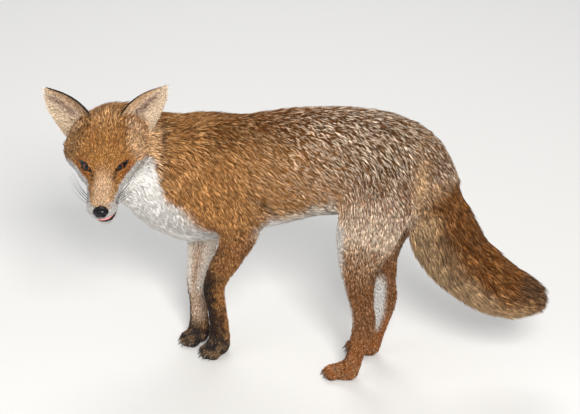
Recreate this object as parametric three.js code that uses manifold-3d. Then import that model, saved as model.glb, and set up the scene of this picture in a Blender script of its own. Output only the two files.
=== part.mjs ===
// A red fox standing with its head turned to its left, in millimetres, +Z up, soles at z = 0.
// The fox faces -X and its left side is -Y. Its flesh is one smooth body, made of tapering limbs and
// swellings that blend into each other, and then parted with thin cuts into the pieces a person would name.
import * as THREE from "three";
import { mergeVertices } from "three/addons/utils/BufferGeometryUtils.js";
import Module from "manifold-3d";

// ---------------------------------------------------------------- driving dimensions
const GAP = 0.4; // clear space between neighbouring pieces
const CELL = 3.6; // edge of a sampling cell of the body
const FILL = 0.25; // how deep a filled-in sample is, in cells
const BODY_TRIANGLES = 3400; // of the whole body before it is parted
const CARE = { head: 8, feet: 4 }; // how much finer the facets of the head and the feet are kept
const ROWS = 5; // sections of a limb for each of its stations
const LIMB_BLEND = 16; // how softly limbs and trunk grow into each other
const FACE_BLEND = 7; // how softly the features of the face join
const LEG_FREE = [120, 215]; // a leg stands free below the first height and is blended above the second
const LEG_ROOM = 5; // how far outside a leg's own surface it is parted from the trunk
const TAIL_ROOM = 9; // the same for the tail
const SLACK = 0.16; // how far a facet may stray when a parted piece is thinned out
const HIND_SIDE = 38; // each hind foot from the midline
const PAW_HEIGHT = 31; // where a paw ends and its leg begins

// The head's own frame: origin midway between the eyes, x forward, y to the fox's left, z up.
const HEAD = { at: [-221, -130, 329], yaw: 110, pitch: 9 };
const EYE = { at: [3.5, 19, 3.8], radius: 10, inner: [20, 15.6, 4.5], outer: [0, 33.5, 8.8], high: 4.4 };
const EAR = {
  root: [-54, 31, 19],
  tip: [-45, 80, 93],
  open: [0.92, 0.2, 0], // the way the hollow of the ear faces
  swing: 4, // how far the tip is turned out
  half: 24.5, // half the breadth at the root
  bow: 3.5, // how far the outer rim bows out
  wall: 2.8,
  wrap: [80, 42], // how far the conch wraps round, in degrees, at its root and at its tip
};
const NOSE = { at: [71, 0, -25], radii: [8.4, 10.4, 7.6] }; // the nose pad
const NOSTRIL = { at: [77.5, 5.6, -26], radii: [4, 2.6, 2.2] };
const CLAW = { length: 12.5, radius: 1.9, tip: 2.8 }; // tip: height of the point above the floor
// The line of the closed lips, x and z from the corner of the mouth forward, and the jaw's depth.
const LIPS = {
  line: [[9, -32], [24, -32], [42, -31.6], [56, -34], [66, -38], [84, -40.5]],
  floor: -64,
  half: 40,
};

// Where the body is parted. The cuts of the skull are in the head's frame.
const SKULL_CUT = { at: [-14, 0, 4], radii: [62, 76, 56] };
const MUZZLE_CUT = { low: [0, -44, -60], high: [120, 44, 40] };
const NECK_CUT = { at: [-158, -10, 290], yaw: 18, lean: 34 };
// Each leg goes with the oval of its shoulder or thigh, and has its own shape from a station down.
const LEG_TOPS = {
  hindleg_left: { at: [136, -62, 276], radii: [60, 42, 76], from: 0 },
  hindleg_right: { at: [146, 62, 276], radii: [60, 42, 76], from: 0 },
  foreleg_left: { at: [-84, -66, 250], radii: [54, 34, 66], from: 2 },
  foreleg_right: { at: [-132, 60, 256], radii: [45, 32, 66], from: 1 },
};

// ---------------------------------------------------------------- stations
// Each station is [x, y, z, half width, half height above the line, half height below it].
const TRUNK = [
  [-192, -24, 258, 34, 46, 58],
  [-162, -13, 262, 50, 86, 90],
  [-123, -4, 268, 58, 92, 93],
  [-86, 0, 279, 60, 88, 89],
  [-36, 0, 294, 60, 83, 85],
  [14, 0, 308, 57, 79, 79],
  [51, 0, 316, 54, 77, 78],
  [98, 0, 323, 55, 75, 75],
  [133, 0, 318, 55, 77, 75],
  [164, 0, 304, 48, 76, 70],
  [188, 0, 292, 36, 62, 58],
  [203, 0, 282, 22, 46, 42],
];
const NECK = [
  [-130, -5, 285, 55, 74, 95],
  [-170, -16, 294, 52, 64, 103],
  [-206, -30, 306, 50, 66, 82],
  [-236, -48, 320, 48, 69, 60],
  [-252, -66, 332, 47, 61, 46],
];
const TAIL = [
  [170, 0, 336, 20, 20, 24],
  [196, 0, 318, 23, 23, 30],
  [209, 1, 291, 26, 27, 38],
  [219, 6, 250, 33, 38, 58],
  [237, 20, 196, 38, 42, 57],
  [274, 32, 153, 38, 42, 48],
  [306, 40, 134, 34, 37, 40],
  [330, 45, 128, 26, 28, 30],
];
// Head stations run forward along the head's own axis.
const SKULL = [
  [-80, 0, 2, 42, 36, 40],
  [-58, 0, 0, 50, 40, 42],
  [-30, 0, 0, 47, 39, 38],
  [-9, 0, -2, 34, 32, 33],
  [4, 0, -5, 24, 25.5, 28],
  [14, 0, -8, 19.5, 21, 26],
  [26, 0, -12, 18, 17, 25],
  [42, 0, -17, 17.5, 15, 23],
  [54, 0, -20.5, 16.5, 13, 20],
  [62, 0, -23.5, 14, 11, 16],
];
// Leg stations are [x, y, z, half width, half depth in front, half depth behind], from the top down.
const HIND_LEG = [
  [150, 32, 300, 26, 52, 42],
  [130, 42, 258, 25, 48, 44],
  [119, 44, 226, 21, 42, 42],
  [112, 43, 195, 17, 32, 34],
  [111, 42, 163, 15, 24, 25],
  [115, 40, 126, 12.5, 19, 19],
  [119, HIND_SIDE, 97, 11.5, 18, 18],
  [113, HIND_SIDE, 64, 11, 14.5, 15],
  [105, HIND_SIDE, 34, 11.5, 12.5, 13],
  [99, HIND_SIDE, 16, 13.5, 13, 14],
];
const LEFT_FORELEG = [
  [-98, -44, 262, 22, 36, 34],
  [-64, -49, 232, 21, 30, 34],
  [-59, -48, 214, 19, 27, 27],
  [-69, -43, 190, 16, 23, 24],
  [-85, -37, 156, 14, 20, 21],
  [-103, -31, 120, 13, 17, 17],
  [-106, -28, 100, 13, 17, 16],
  [-103, -25, 68, 12, 14.5, 14.5],
  [-101, -23, 42, 13, 15, 15],
  [-101, -24, 18, 15, 15, 15],
];
const RIGHT_FORELEG = [
  [-142, 26, 262, 22, 36, 38],
  [-137, 28, 228, 21, 33, 38],
  [-138, 25, 200, 18, 30, 33],
  [-140, 20, 165, 15, 25, 27],
  [-144, 14, 125, 13.5, 19, 19],
  [-147, 9, 92, 13, 15.5, 15],
  [-144, 5, 62, 11.5, 13.5, 13.5],
  [-142, 3, 40, 12.5, 14.5, 14],
  [-141, 1, 18, 14.5, 15, 15],
];
// Where the middle of each sole is, which way the toes point (degrees from -X towards -Y), and its size.
const FEET = {
  forepaw_left: { at: [-105, -31], turn: 62, length: 48, width: 33 },
  forepaw_right: { at: [-145, -6], turn: 58, length: 48, width: 33 },
  hindpaw_left: { at: [86, -HIND_SIDE], turn: 6, length: 50, width: 31 },
  hindpaw_right: { at: [96, HIND_SIDE], turn: -4, length: 50, width: 31 },
};
const TOES = [-1.5, -0.5, 0.5, 1.5];

// ---------------------------------------------------------------- frames
const vec = (a) => new THREE.Vector3(...a);
const SIDES = { left: 1, right: -1 };
const UP = new THREE.Vector3(0, 0, 1);
const AHEAD = new THREE.Vector3(-1, 0, 0);
const degrees = THREE.MathUtils.degToRad;

const headFrame = new THREE.Matrix4()
  .makeTranslation(...HEAD.at)
  .multiply(new THREE.Matrix4().makeRotationZ(degrees(180 + HEAD.yaw)))
  .multiply(new THREE.Matrix4().makeRotationY(degrees(HEAD.pitch)));
const headUp = UP.clone().transformDirection(headFrame);

// A foot's frame: x forward to the toes, y to the fox's left.
const footFrame = ({ at, turn }) =>
  new THREE.Matrix4()
    .makeTranslation(at[0], at[1], 0)
    .multiply(new THREE.Matrix4().makeRotationZ(degrees(180 + turn)));

const onSide = ([x, y, z], s) => [x, s * y, z];
const toePlace = ({ length, width }, k) => {
  const inner = Math.abs(k) < 1;
  return [length * (inner ? 0.33 : 0.22), (k * width) / 4.1, 7.5];
};

// ---------------------------------------------------------------- limbs and swellings
// A limb is a row of oval sections on a smooth line. `ref` is the way its upper half faces.
function limb(stations, ref, { blend = LIMB_BLEND, steps = ROWS, frame = null, free = false } = {}) {
  const knots = stations.map((s) => (frame ? vec(s.slice(0, 3)).applyMatrix4(frame) : vec(s.slice(0, 3))));
  const line = new THREE.CatmullRomCurve3(knots, false, "centripetal");
  const graph = (k) => stations.map((s, i) => new THREE.Vector3(i, s[k], 0));
  const sizes = [3, 4, 5].map((k) => new THREE.CatmullRomCurve3(graph(k), false, "catmullrom"));
  const last = (stations.length - 1) * steps;
  const rows = [];
  for (let i = 0; i <= last; i++) {
    const t = i / last;
    const along = line.getTangent(t);
    const side = new THREE.Vector3().crossVectors(along, ref).normalize();
    const up = new THREE.Vector3().crossVectors(side, along).normalize();
    const [w, a, b] = sizes.map((c) => c.getPoint(t).y);
    rows.push({ at: line.getPoint(t), along, side, up, w, a, b });
  }
  const box = new THREE.Box3();
  for (const r of rows) {
    const reach = Math.max(r.w, r.a, r.b);
    box.expandByPoint(r.at.clone().addScalar(reach)).expandByPoint(r.at.clone().addScalar(-reach));
  }
  return { rows, blend, free, box };
}

// How far p is outside the limb (negative inside), measured from its line.
function limbDistance({ rows }, p) {
  let nearest = Infinity;
  for (let i = 0; i + 1 < rows.length; i++) {
    const r = rows[i];
    const q = rows[i + 1];
    const sx = q.at.x - r.at.x;
    const sy = q.at.y - r.at.y;
    const sz = q.at.z - r.at.z;
    const ahead = (p.x - r.at.x) * sx + (p.y - r.at.y) * sy + (p.z - r.at.z) * sz;
    const t = THREE.MathUtils.clamp(ahead / (sx * sx + sy * sy + sz * sz), 0, 1);
    const dx = p.x - r.at.x - sx * t;
    const dy = p.y - r.at.y - sy * t;
    const dz = p.z - r.at.z - sz * t;
    const w = r.w + (q.w - r.w) * t;
    const high = dx * r.up.x + dy * r.up.y + dz * r.up.z;
    const half = high > 0 ? r.a + (q.a - r.a) * t : r.b + (q.b - r.b) * t;
    const across = (dx * r.side.x + dy * r.side.y + dz * r.side.z) / w;
    const on = (dx * r.along.x + dy * r.along.y + dz * r.along.z) / Math.min(w, half);
    const share = Math.hypot(across, high / half, on);
    const d = share < 1e-6 ? -Math.min(w, half) : Math.hypot(dx, dy, dz) * (1 - 1 / share);
    nearest = Math.min(nearest, d);
  }
  return nearest;
}

// A swelling is an ellipsoid with its radii along the axes of its frame.
function swelling(at, radii, { frame = new THREE.Matrix4(), blend = LIMB_BLEND } = {}) {
  const into = frame.clone().invert();
  const centre = vec(at);
  const reach = Math.max(...radii);
  const middle = centre.clone().applyMatrix4(frame);
  const box = new THREE.Box3(middle.clone().addScalar(-reach), middle.clone().addScalar(reach));
  return { into, centre, radii, blend, box };
}

const local = new THREE.Vector3();
function swellingDistance({ into, centre, radii }, p) {
  local.copy(p).applyMatrix4(into).sub(centre);
  const share = Math.hypot(local.x / radii[0], local.y / radii[1], local.z / radii[2]);
  return share < 1e-6 ? -Math.min(...radii) : local.length() * (1 - 1 / share);
}

const smoothMin = (a, b, k) => {
  const h = Math.max(k - Math.abs(a - b), 0) / k;
  return Math.min(a, b) - (h * h * k) / 4;
};

// ---------------------------------------------------------------- the fox's form
const limbs = {
  trunk: limb(TRUNK, UP),
  neck: limb(NECK, UP, { blend: 24 }),
  tail: limb(TAIL, new THREE.Vector3(1, 0, 1).normalize(), { blend: 12 }),
  hindleg_left: limb(HIND_LEG.map(([x, y, ...rest]) => [x, -y, ...rest]), AHEAD, { free: true }),
  hindleg_right: limb(HIND_LEG.map(([x, ...rest]) => [x + 10, ...rest]), AHEAD, { free: true }),
  foreleg_left: limb(LEFT_FORELEG, AHEAD, { free: true }),
  foreleg_right: limb(RIGHT_FORELEG, AHEAD, { free: true }),
};
const SHOULDERS = {
  foreleg_left: { at: [-104, -40, 275], radii: [46, 24, 62] },
  foreleg_right: { at: [-132, 34, 275], radii: [42, 24, 62] },
};

function foot(place) {
  const { length, width } = place;
  const frame = footFrame(place);
  const toe = [length * 0.2, width * 0.15, 9];
  const toes = TOES.map((k) => swelling(toePlace(place, k), toe, { frame, blend: 3 }));
  return [swelling([-4, 0, 11], [length * 0.36, width * 0.42, 13.5], { frame, blend: 8 }), ...toes];
}

function face() {
  const pair = (at, radii, blend = FACE_BLEND) =>
    Object.values(SIDES).map((s) => swelling(onSide(at, s), radii, { frame: headFrame, blend }));
  return [
    limb(SKULL, headUp, { blend: 12, frame: headFrame }),
    ...pair([-36, 33, 2], [26, 24, 32], 12), // cheeks
    ...pair([-13, 21, -20], [25, 16, 16], 10), // jowls
    ...pair([18, 12.5, -23], [34, 11.5, 12], 10), // sides of the snout
    ...pair([-1, 20, 11], [9, 9, 6]), // brows
    ...pair([56, 10.5, -28], [15, 11.5, 9.5]), // whisker pads
    swelling([60, 0, -39], [12, 12, 10.5], { frame: headFrame, blend: FACE_BLEND }), // chin
  ];
}

const form = [
  ...Object.values(limbs),
  ...Object.values(SHOULDERS).map(({ at, radii }) => swelling(at, radii)),
  ...Object.values(FEET).flatMap(foot),
  ...face(),
];

// ---------------------------------------------------------------- from distances to a closed mesh
function sample(parts, cell) {
  const room = new THREE.Box3();
  for (const part of parts) room.union(part.box);
  room.expandByScalar(2.5 * cell);
  const from = room.min;
  const size = room.getSize(new THREE.Vector3()).toArray();
  const count = size.map((s) => Math.ceil(s / cell) + 1);
  const values = new Float32Array(count[0] * count[1] * count[2]).fill(1e3);
  const p = new THREE.Vector3();
  for (const part of parts) {
    const reach = part.blend + 3 * cell;
    const lows = part.box.min.clone().sub(from).addScalar(-reach).toArray();
    const highs = part.box.max.clone().sub(from).addScalar(reach).toArray();
    const first = lows.map((x) => Math.max(0, Math.floor(x / cell)));
    const final = highs.map((x, k) => Math.min(count[k] - 1, Math.ceil(x / cell)));
    for (let k = first[2]; k <= final[2]; k++)
      for (let j = first[1]; j <= final[1]; j++)
        for (let i = first[0]; i <= final[0]; i++) {
          p.set(from.x + i * cell, from.y + j * cell, from.z + k * cell);
          const n = i + count[0] * (j + count[1] * k);
          const d = part.rows ? limbDistance(part, p) : swellingDistance(part, p);
          const free = part.free ? Math.max(0.1, THREE.MathUtils.smoothstep(p.z, ...LEG_FREE)) : 1;
          values[n] = smoothMin(values[n], d, part.blend * free);
        }
  }
  return { values, count, from, cell };
}

// The corners of a cell, numbered by their bits, and its twelve edges.
const CORNERS = [0, 1, 2, 3, 4, 5, 6, 7].map((c) => [c & 1, (c >> 1) & 1, (c >> 2) & 1]);
const EDGES = CORNERS.flatMap((_, a) => [1, 2, 4].filter((bit) => !(a & bit)).map((bit) => [a, a | bit]));

// True when the chosen corners of a cell hang together by its edges.
function joined(chosen) {
  const seen = new Set([chosen.indexOf(true)]);
  for (const from of seen)
    for (const bit of [1, 2, 4]) if (chosen[from ^ bit]) seen.add(from ^ bit);
  return seen.size >= chosen.filter(Boolean).length;
}

// Fills in samples until no cell holds two sheets of surface, so that the net never touches itself.
function untangle({ values, count, cell }) {
  const [nx, ny, nz] = count;
  let filled = true;
  while (filled) {
    filled = false;
    for (let n = 0; n < nx * ny * (nz - 1) - nx - 1; n++) {
      if (n % nx === nx - 1) continue;
      const at = CORNERS.map(([x, y, z]) => n + x + nx * (y + ny * z));
      const inside = at.map((m) => values[m] < 0);
      if (inside.every((x) => x === inside[0])) continue;
      if (joined(inside) && joined(inside.map((x) => !x))) continue;
      const nearest = at.filter((_, c) => !inside[c]).reduce((a, b) => (values[a] <= values[b] ? a : b));
      values[nearest] = -FILL * cell;
      filled = true;
    }
  }
}

// Surface nets: one vertex in each cell that the surface crosses, and a quad round each crossed edge.
function surfaceNet({ values, count, from, cell }) {
  const [nx, ny, nz] = count;
  const step = [1, nx, nx * ny];
  const vertexOf = new Int32Array(values.length).fill(-1);
  const points = [];
  for (let k = 0; k < nz - 1; k++)
    for (let j = 0; j < ny - 1; j++)
      for (let i = 0; i < nx - 1; i++) {
        const n = i + nx * (j + ny * k);
        const v = CORNERS.map(([x, y, z]) => values[n + x * step[0] + y * step[1] + z * step[2]]);
        if (v.every((x) => x < 0) || v.every((x) => x >= 0)) continue;
        const crossed = EDGES.filter(([a, b]) => v[a] < 0 !== v[b] < 0);
        const sum = new THREE.Vector3();
        for (const [a, b] of crossed) sum.add(vec(CORNERS[a]).lerp(vec(CORNERS[b]), v[a] / (v[a] - v[b])));
        vertexOf[n] = points.length;
        points.push(sum.divideScalar(crossed.length).add(vec([i, j, k])).multiplyScalar(cell).add(from));
      }
  const faces = [];
  for (let k = 1; k < nz - 1; k++)
    for (let j = 1; j < ny - 1; j++)
      for (let i = 1; i < nx - 1; i++) {
        const n = i + nx * (j + ny * k);
        for (let axis = 0; axis < 3; axis++) {
          const inside = values[n] < 0;
          if (inside === values[n + step[axis]] < 0) continue;
          const u = step[(axis + 1) % 3];
          const w = step[(axis + 2) % 3];
          const ring = [n, n - u, n - u - w, n - w].map((m) => vertexOf[m]);
          if (!inside) ring.reverse();
          faces.push([ring[0], ring[1], ring[2]], [ring[0], ring[2], ring[3]]);
        }
      }
  return { points, faces };
}

// A heap that gives back the item of least cost first.
class Heap {
  items = [];
  push(item) {
    const h = this.items;
    let i = h.push(item) - 1;
    while (i > 0) {
      const above = (i - 1) >> 1;
      if (h[above].cost <= h[i].cost) break;
      [h[above], h[i]] = [h[i], h[above]];
      i = above;
    }
  }
  pop() {
    const h = this.items;
    const top = h[0];
    const end = h.pop();
    if (!h.length) return top;
    h[0] = end;
    let i = 0;
    for (;;) {
      let below = 2 * i + 1;
      if (below + 1 < h.length && h[below + 1].cost < h[below].cost) below++;
      if (below >= h.length || h[i].cost <= h[below].cost) return top;
      [h[i], h[below]] = [h[below], h[i]];
      i = below;
    }
  }
}

// The error quadric of a plane: the squared distance to it, as the ten numbers of a symmetric matrix.
const planeQuadric = ({ x, y, z }, d) =>
  [x * x, x * y, x * z, x * d, y * y, y * z, y * d, z * z, z * d, d * d];
const quadricError = (q, { x, y, z }) =>
  q[0] * x * x + 2 * q[1] * x * y + 2 * q[2] * x * z + 2 * q[3] * x +
  q[4] * y * y + 2 * q[5] * y * z + 2 * q[6] * y + q[7] * z * z + 2 * q[8] * z + q[9];

// The best place for the one point that an edge becomes.
function bestPoint(q, a, b) {
  const middle = a.clone().add(b).multiplyScalar(0.5);
  const options = [middle, a, b];
  const m = new THREE.Matrix3().set(q[0], q[1], q[2], q[1], q[4], q[5], q[2], q[5], q[7]);
  if (Math.abs(m.determinant()) > 1e-3) {
    const p = new THREE.Vector3(-q[3], -q[6], -q[8]).applyMatrix3(m.invert());
    if (p.distanceTo(middle) < a.distanceTo(b)) options.push(p);
  }
  return options.reduce((x, y) => (quadricError(q, y) < quadricError(q, x) - 1e-9 ? y : x)).clone();
}

// Edge collapse, cheapest first, until `wanted` faces are left or the next error would be over `limit`.
// `weigh` says how dear a face is, from its area and place.
function simplify({ points, faces }, { wanted = 4, limit = Infinity, weigh }) {
  const quadrics = points.map(() => new Float64Array(10));
  const around = points.map(() => new Set());
  const version = new Int32Array(points.length);
  const heap = new Heap();
  const normalOf = (f) => {
    const [a, b, c] = f.map((i) => points[i]);
    return new THREE.Vector3().crossVectors(b.clone().sub(a), c.clone().sub(a));
  };
  faces.forEach((f, index) => {
    const normal = normalOf(f);
    const weight = weigh(normal.length() / 2, points[f[0]]);
    normal.normalize();
    const q = planeQuadric(normal, -normal.dot(points[f[0]]));
    for (const i of f) {
      around[i].add(index);
      for (let k = 0; k < 10; k++) quadrics[i][k] += q[k] * weight;
    }
  });
  const neighbours = (i) => new Set([...around[i]].flatMap((f) => faces[f]).filter((j) => j !== i));
  const offer = (a, b) => {
    const q = quadrics[a].map((x, k) => x + quadrics[b][k]);
    const p = bestPoint(q, points[a], points[b]);
    const cost = quadricError(q, p) + 1e-4 * points[a].distanceToSquared(points[b]);
    if (quadricError(q, p) <= limit) heap.push({ cost, a, b, p, stamps: [version[a], version[b]] });
  };
  const wouldFlip = (end, a, b, p) =>
    [...around[end]].some((f) => {
      if (faces[f].includes(a) && faces[f].includes(b)) return false;
      const before = normalOf(faces[f]);
      const kept = points[end];
      points[end] = p;
      const after = normalOf(faces[f]);
      points[end] = kept;
      return before.dot(after) < 0.25 * before.length() * after.length();
    });
  points.forEach((_, i) => neighbours(i).forEach((j) => i < j && offer(i, j)));
  let left = faces.length;
  while (left > wanted && heap.items.length) {
    const { a, b, p, stamps } = heap.pop();
    const stale = stamps[0] !== version[a] || stamps[1] !== version[b];
    if (stale || !around[a].size || !around[b].size) continue;
    const nearA = neighbours(a);
    const shared = [...neighbours(b)].filter((i) => nearA.has(i));
    if (shared.length !== 2 || wouldFlip(a, a, b, p) || wouldFlip(b, a, b, p)) continue;
    points[a] = p;
    for (let k = 0; k < 10; k++) quadrics[a][k] += quadrics[b][k];
    for (const f of [...around[b]]) {
      if (faces[f].includes(a)) {
        for (const i of faces[f]) around[i].delete(f);
        faces[f] = null;
        left--;
      } else {
        faces[f] = faces[f].map((i) => (i === b ? a : i));
        around[a].add(f);
      }
    }
    around[b].clear();
    version[a]++;
    version[b]++;
    neighbours(a).forEach((j) => offer(a, j));
  }
  return { points, faces: faces.filter(Boolean) };
}

// ---------------------------------------------------------------- solids
const wasm = await Module();
wasm.setup();

function solidOf(geometry, frame) {
  geometry.deleteAttribute("normal");
  geometry.deleteAttribute("uv");
  if (frame) geometry.applyMatrix4(frame);
  const merged = mergeVertices(geometry, 1e-4);
  return new wasm.Manifold(
    new wasm.Mesh({
      numProp: 3,
      vertProperties: new Float32Array(merged.attributes.position.array),
      triVerts: new Uint32Array(merged.index.array),
    }),
  );
}

function solidOfFaces({ points, faces }) {
  const geometry = new THREE.BufferGeometry().setFromPoints(points);
  return solidOf(geometry.setIndex(faces.flat()));
}

// A tube of oval sections round a limb, grown outwards by `grow`, with flat ends that reach out by `past`.
// It starts at row `from` and takes every `every`th one.
function tube({ rows }, grow, { from = 0, every = 1, around = 16, past = 0 } = {}) {
  const used = rows.filter((_, i) => i >= from && (i % every === 0 || i === rows.length - 1));
  const ends = [0, used.length - 1].map((i) => {
    const outwards = i ? 1 : -1;
    return used[i].at.clone().addScaledVector(used[i].along, outwards * (grow + past));
  });
  const points = used.flatMap((r, i) =>
    [...Array(around).keys()].map((k) => {
      const angle = (2 * Math.PI * k) / around;
      const half = Math.sin(angle) > 0 ? r.a : r.b;
      const at = i === 0 ? ends[0] : i === used.length - 1 ? ends[1] : r.at;
      return at.clone()
        .addScaledVector(r.side, (r.w + grow) * Math.cos(angle))
        .addScaledVector(r.up, (half + grow) * Math.sin(angle));
    }));
  const faces = [];
  const last = (used.length - 1) * around;
  for (let k = 0; k < around; k++) {
    const next = (k + 1) % around;
    for (let i = 0; i < last; i += around)
      faces.push([i + k, i + around + next, i + next], [i + k, i + around + k, i + around + next]);
    faces.push([points.length, k, next], [points.length + 1, last + next, last + k]);
  }
  return solidOfFaces({ points: [...points, ...ends], faces });
}

function ellipsoid(at, radii, grow, frame, segments = [14, 9]) {
  const ball = new THREE.SphereGeometry(1, ...segments);
  ball.scale(...radii.map((r) => r + grow)).translate(...at);
  return solidOf(ball, frame);
}

function block(low, high, frame) {
  const size = high.map((x, k) => x - low[k]);
  const box = new THREE.BoxGeometry(...size);
  box.translate(...low.map((x, k) => x + size[k] / 2));
  return solidOf(box, frame);
}

// An outline in the head's forward-and-up plane, carried from side to side.
function prismAcrossHead(outline, halfWidth) {
  const shape = new THREE.Shape(outline.map(([x, z]) => new THREE.Vector2(x, z)));
  const prism = new THREE.ExtrudeGeometry(shape, { depth: 2 * halfWidth, bevelEnabled: false });
  prism.translate(0, 0, -halfWidth).rotateX(Math.PI / 2);
  return solidOf(prism, headFrame);
}

// A thin sheet that follows point(s, t), s from -1 to 1 and t from 0 to 1, with a closed edge.
function sheet(point, thickness, columns, rows) {
  const small = 1e-3;
  const faces = [];
  const points = [1, -1].flatMap((side) =>
    [...Array(rows + 1).keys()].flatMap((j) =>
      [...Array(columns + 1).keys()].map((i) => {
        const s = (2 * i) / columns - 1;
        const t = j / rows;
        const across = point(s + small, t).sub(point(s - small, t));
        const along = point(s, t + small).sub(point(s, t - small));
        const normal = across.cross(along).normalize();
        return point(s, t).addScaledVector(normal, (side * thickness(s, t)) / 2);
      })));
  const wide = columns + 1;
  const back = wide * (rows + 1);
  for (let j = 0; j < rows; j++)
    for (let i = 0; i < columns; i++) {
      const a = j * wide + i;
      faces.push([a, a + 1, a + wide + 1], [a, a + wide + 1, a + wide]);
      const b = back + a;
      faces.push([b, b + wide + 1, b + 1], [b, b + wide, b + wide + 1]);
    }
  const stitch = (a, b) => faces.push([a, back + b, b], [a, back + a, back + b]);
  for (let i = 0; i < columns; i++) {
    stitch(i, i + 1);
    stitch(rows * wide + i + 1, rows * wide + i);
  }
  for (let j = 0; j < rows; j++) {
    stitch(j * wide + columns, (j + 1) * wide + columns);
    stitch((j + 1) * wide, j * wide);
  }
  return solidOfFaces({ points, faces });
}

const largest = (solid) => solid.decompose().reduce((a, b) => (a.volume() > b.volume() ? a : b));

// ---------------------------------------------------------------- the small pieces, each grown by `grow`
function ear(side, grow) {
  const s = SIDES[side];
  const root = vec(onSide(EAR.root, s));
  const reach = vec(onSide(EAR.tip, s)).setY(s * EAR.tip[1] + EAR.swing).sub(root);
  const front = vec(onSide(EAR.open, s));
  const along = reach.clone().normalize();
  front.addScaledVector(along, -front.dot(along)).normalize();
  const across = new THREE.Vector3().crossVectors(front, along);
  const half = (t) => {
    const high = THREE.MathUtils.clamp(t, 0, 1);
    return EAR.half * (1 - high ** 2.9) ** 0.85 * (1 + 0.08 * Math.sin(Math.PI * high));
  };
  const point = (u, t) => {
    const at = 0.985 * t - ((1 - t) * grow) / reach.length();
    const wrap = degrees(THREE.MathUtils.lerp(...EAR.wrap, at));
    const w = half(at) / Math.sin(wrap);
    const rim = 1 + grow / EAR.half;
    const inwards = s * EAR.bow * (Math.sin(Math.PI * at) - 1 + at);
    return root.clone()
      .addScaledVector(reach, at)
      .addScaledVector(across, w * rim * Math.sin(wrap * u) + inwards)
      .addScaledVector(front, -w * (Math.cos(wrap * u) - Math.cos(wrap)))
      .applyMatrix4(headFrame);
  };
  const thickness = (u, t) => EAR.wall * (1 - 0.45 * u ** 4 - 0.35 * t) + 2 * grow;
  return sheet(point, thickness, 8, 7);
}

const eyeball = (side, grow) =>
  ellipsoid(onSide(EYE.at, SIDES[side]), Array(3).fill(EYE.radius), grow, headFrame, [12, 8]);

// The opening between the lids: a lens-shaped prism from the eyeball outwards.
function lidOpening(side) {
  const [inner, outer] = [EYE.inner, EYE.outer].map((at) => vec(onSide(at, SIDES[side])));
  const middle = inner.clone().add(outer).multiplyScalar(0.5);
  const out = middle.clone().sub(vec(onSide(EYE.at, SIDES[side]))).normalize();
  const across = outer.clone().sub(inner);
  const half = across.length() / 2;
  across.addScaledVector(out, -across.dot(out)).normalize();
  const high = new THREE.Vector3().crossVectors(out, across);
  const lens = new THREE.Shape().moveTo(-half, 0)
    .quadraticCurveTo(0, 2 * EYE.high, half, 0)
    .quadraticCurveTo(0, -2 * EYE.high, -half, 0);
  const prism = new THREE.ExtrudeGeometry(lens, { depth: 30, bevelEnabled: false, curveSegments: 5 });
  const place = new THREE.Matrix4().makeBasis(across, high, out);
  place.setPosition(middle.addScaledVector(out, 3 - EYE.radius));
  return solidOf(prism.applyMatrix4(place), headFrame);
}

const nosePad = (grow) => ellipsoid(NOSE.at, NOSE.radii, grow, headFrame, [16, 9]);
const nostrils = Object.values(SIDES)
  .map((s) => ellipsoid(onSide(NOSTRIL.at, s), NOSTRIL.radii, 0, headFrame, [6, 4]))
  .reduce((a, b) => a.add(b));

const TONGUE = limb(
  [
    [42, 0, -31.7, 8, 1.1, 1.1],
    [55, 1, -34, 10, 1.1, 1.1],
    [63, 2.5, -37, 10, 1.1, 1.1],
    [70.5, 4, -39.6, 8, 1, 1],
  ],
  headUp,
  { frame: headFrame, steps: 2 },
);

// Everything below the line of the closed lips, as far back as the corner of the mouth.
function jawRegion(grow) {
  const line = LIPS.line.map(([x, z], i) => [i === 0 ? x - grow : x, z + grow]);
  const [[back], [front]] = [line[0], line.at(-1)];
  return prismAcrossHead([...line, [front, LIPS.floor], [back, LIPS.floor]], LIPS.half);
}

function claw(place, k, grow) {
  const [x, y, z] = toePlace(place, k);
  const tip = x + CLAW.length;
  const radius = CLAW.radius;
  const stations = [
    [x, y, z + 1.5, radius, radius, radius],
    [x + 0.6 * CLAW.length, y, z + 1, radius * 0.85, radius, radius],
    [tip, y, CLAW.tip, 0.5, 0.5, 0.5],
  ];
  return tube(limb(stations, UP, { frame: footFrame(place), steps: 1 }), grow, { around: 6 });
}

// ---------------------------------------------------------------- parting the body
const footPoints = Object.values(FEET).map(({ at }) => new THREE.Vector3(...at, 0));
const careAt = (p) => {
  if (p.distanceTo(vec(HEAD.at)) < 90) return CARE.head;
  return footPoints.some((at) => p.distanceTo(at) < 50) ? CARE.feet : 1;
};
const weigh = (area, p) => area * careAt(p);
const field = sample(form, CELL);
untangle(field);
let body = solidOfFaces(simplify(surfaceNet(field), { wanted: BODY_TRIANGLES, weigh }));

// Takes the piece of the body that lies in region(0), and leaves a gap round it.
const pieces = {};
function take(name, region) {
  pieces[name] = largest(body.intersect(region(0)));
  body = largest(body.subtract(region(GAP)));
}

for (const [name, top] of Object.entries(LEG_TOPS)) {
  const paw = name.replace("leg", "paw");
  const place = FEET[paw];
  const half = [place.length * 0.85, place.width * 0.68];
  take(paw, (grow) => {
    const reach = half.map((x) => x + grow);
    return block([-reach[0], -reach[1], -9], [...reach, PAW_HEIGHT + grow], footFrame(place));
  });
  take(name, (grow) => {
    const shank = tube(limbs[name], grow + LEG_ROOM, { from: ROWS * top.from, every: ROWS, around: 12 });
    return shank.add(ellipsoid(top.at, top.radii, grow));
  });
}
take("tail", (grow) => {
  const options = { from: ROWS, every: ROWS, around: 12, past: 40 };
  return tube(limbs.tail, grow + TAIL_ROOM, options);
});

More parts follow.
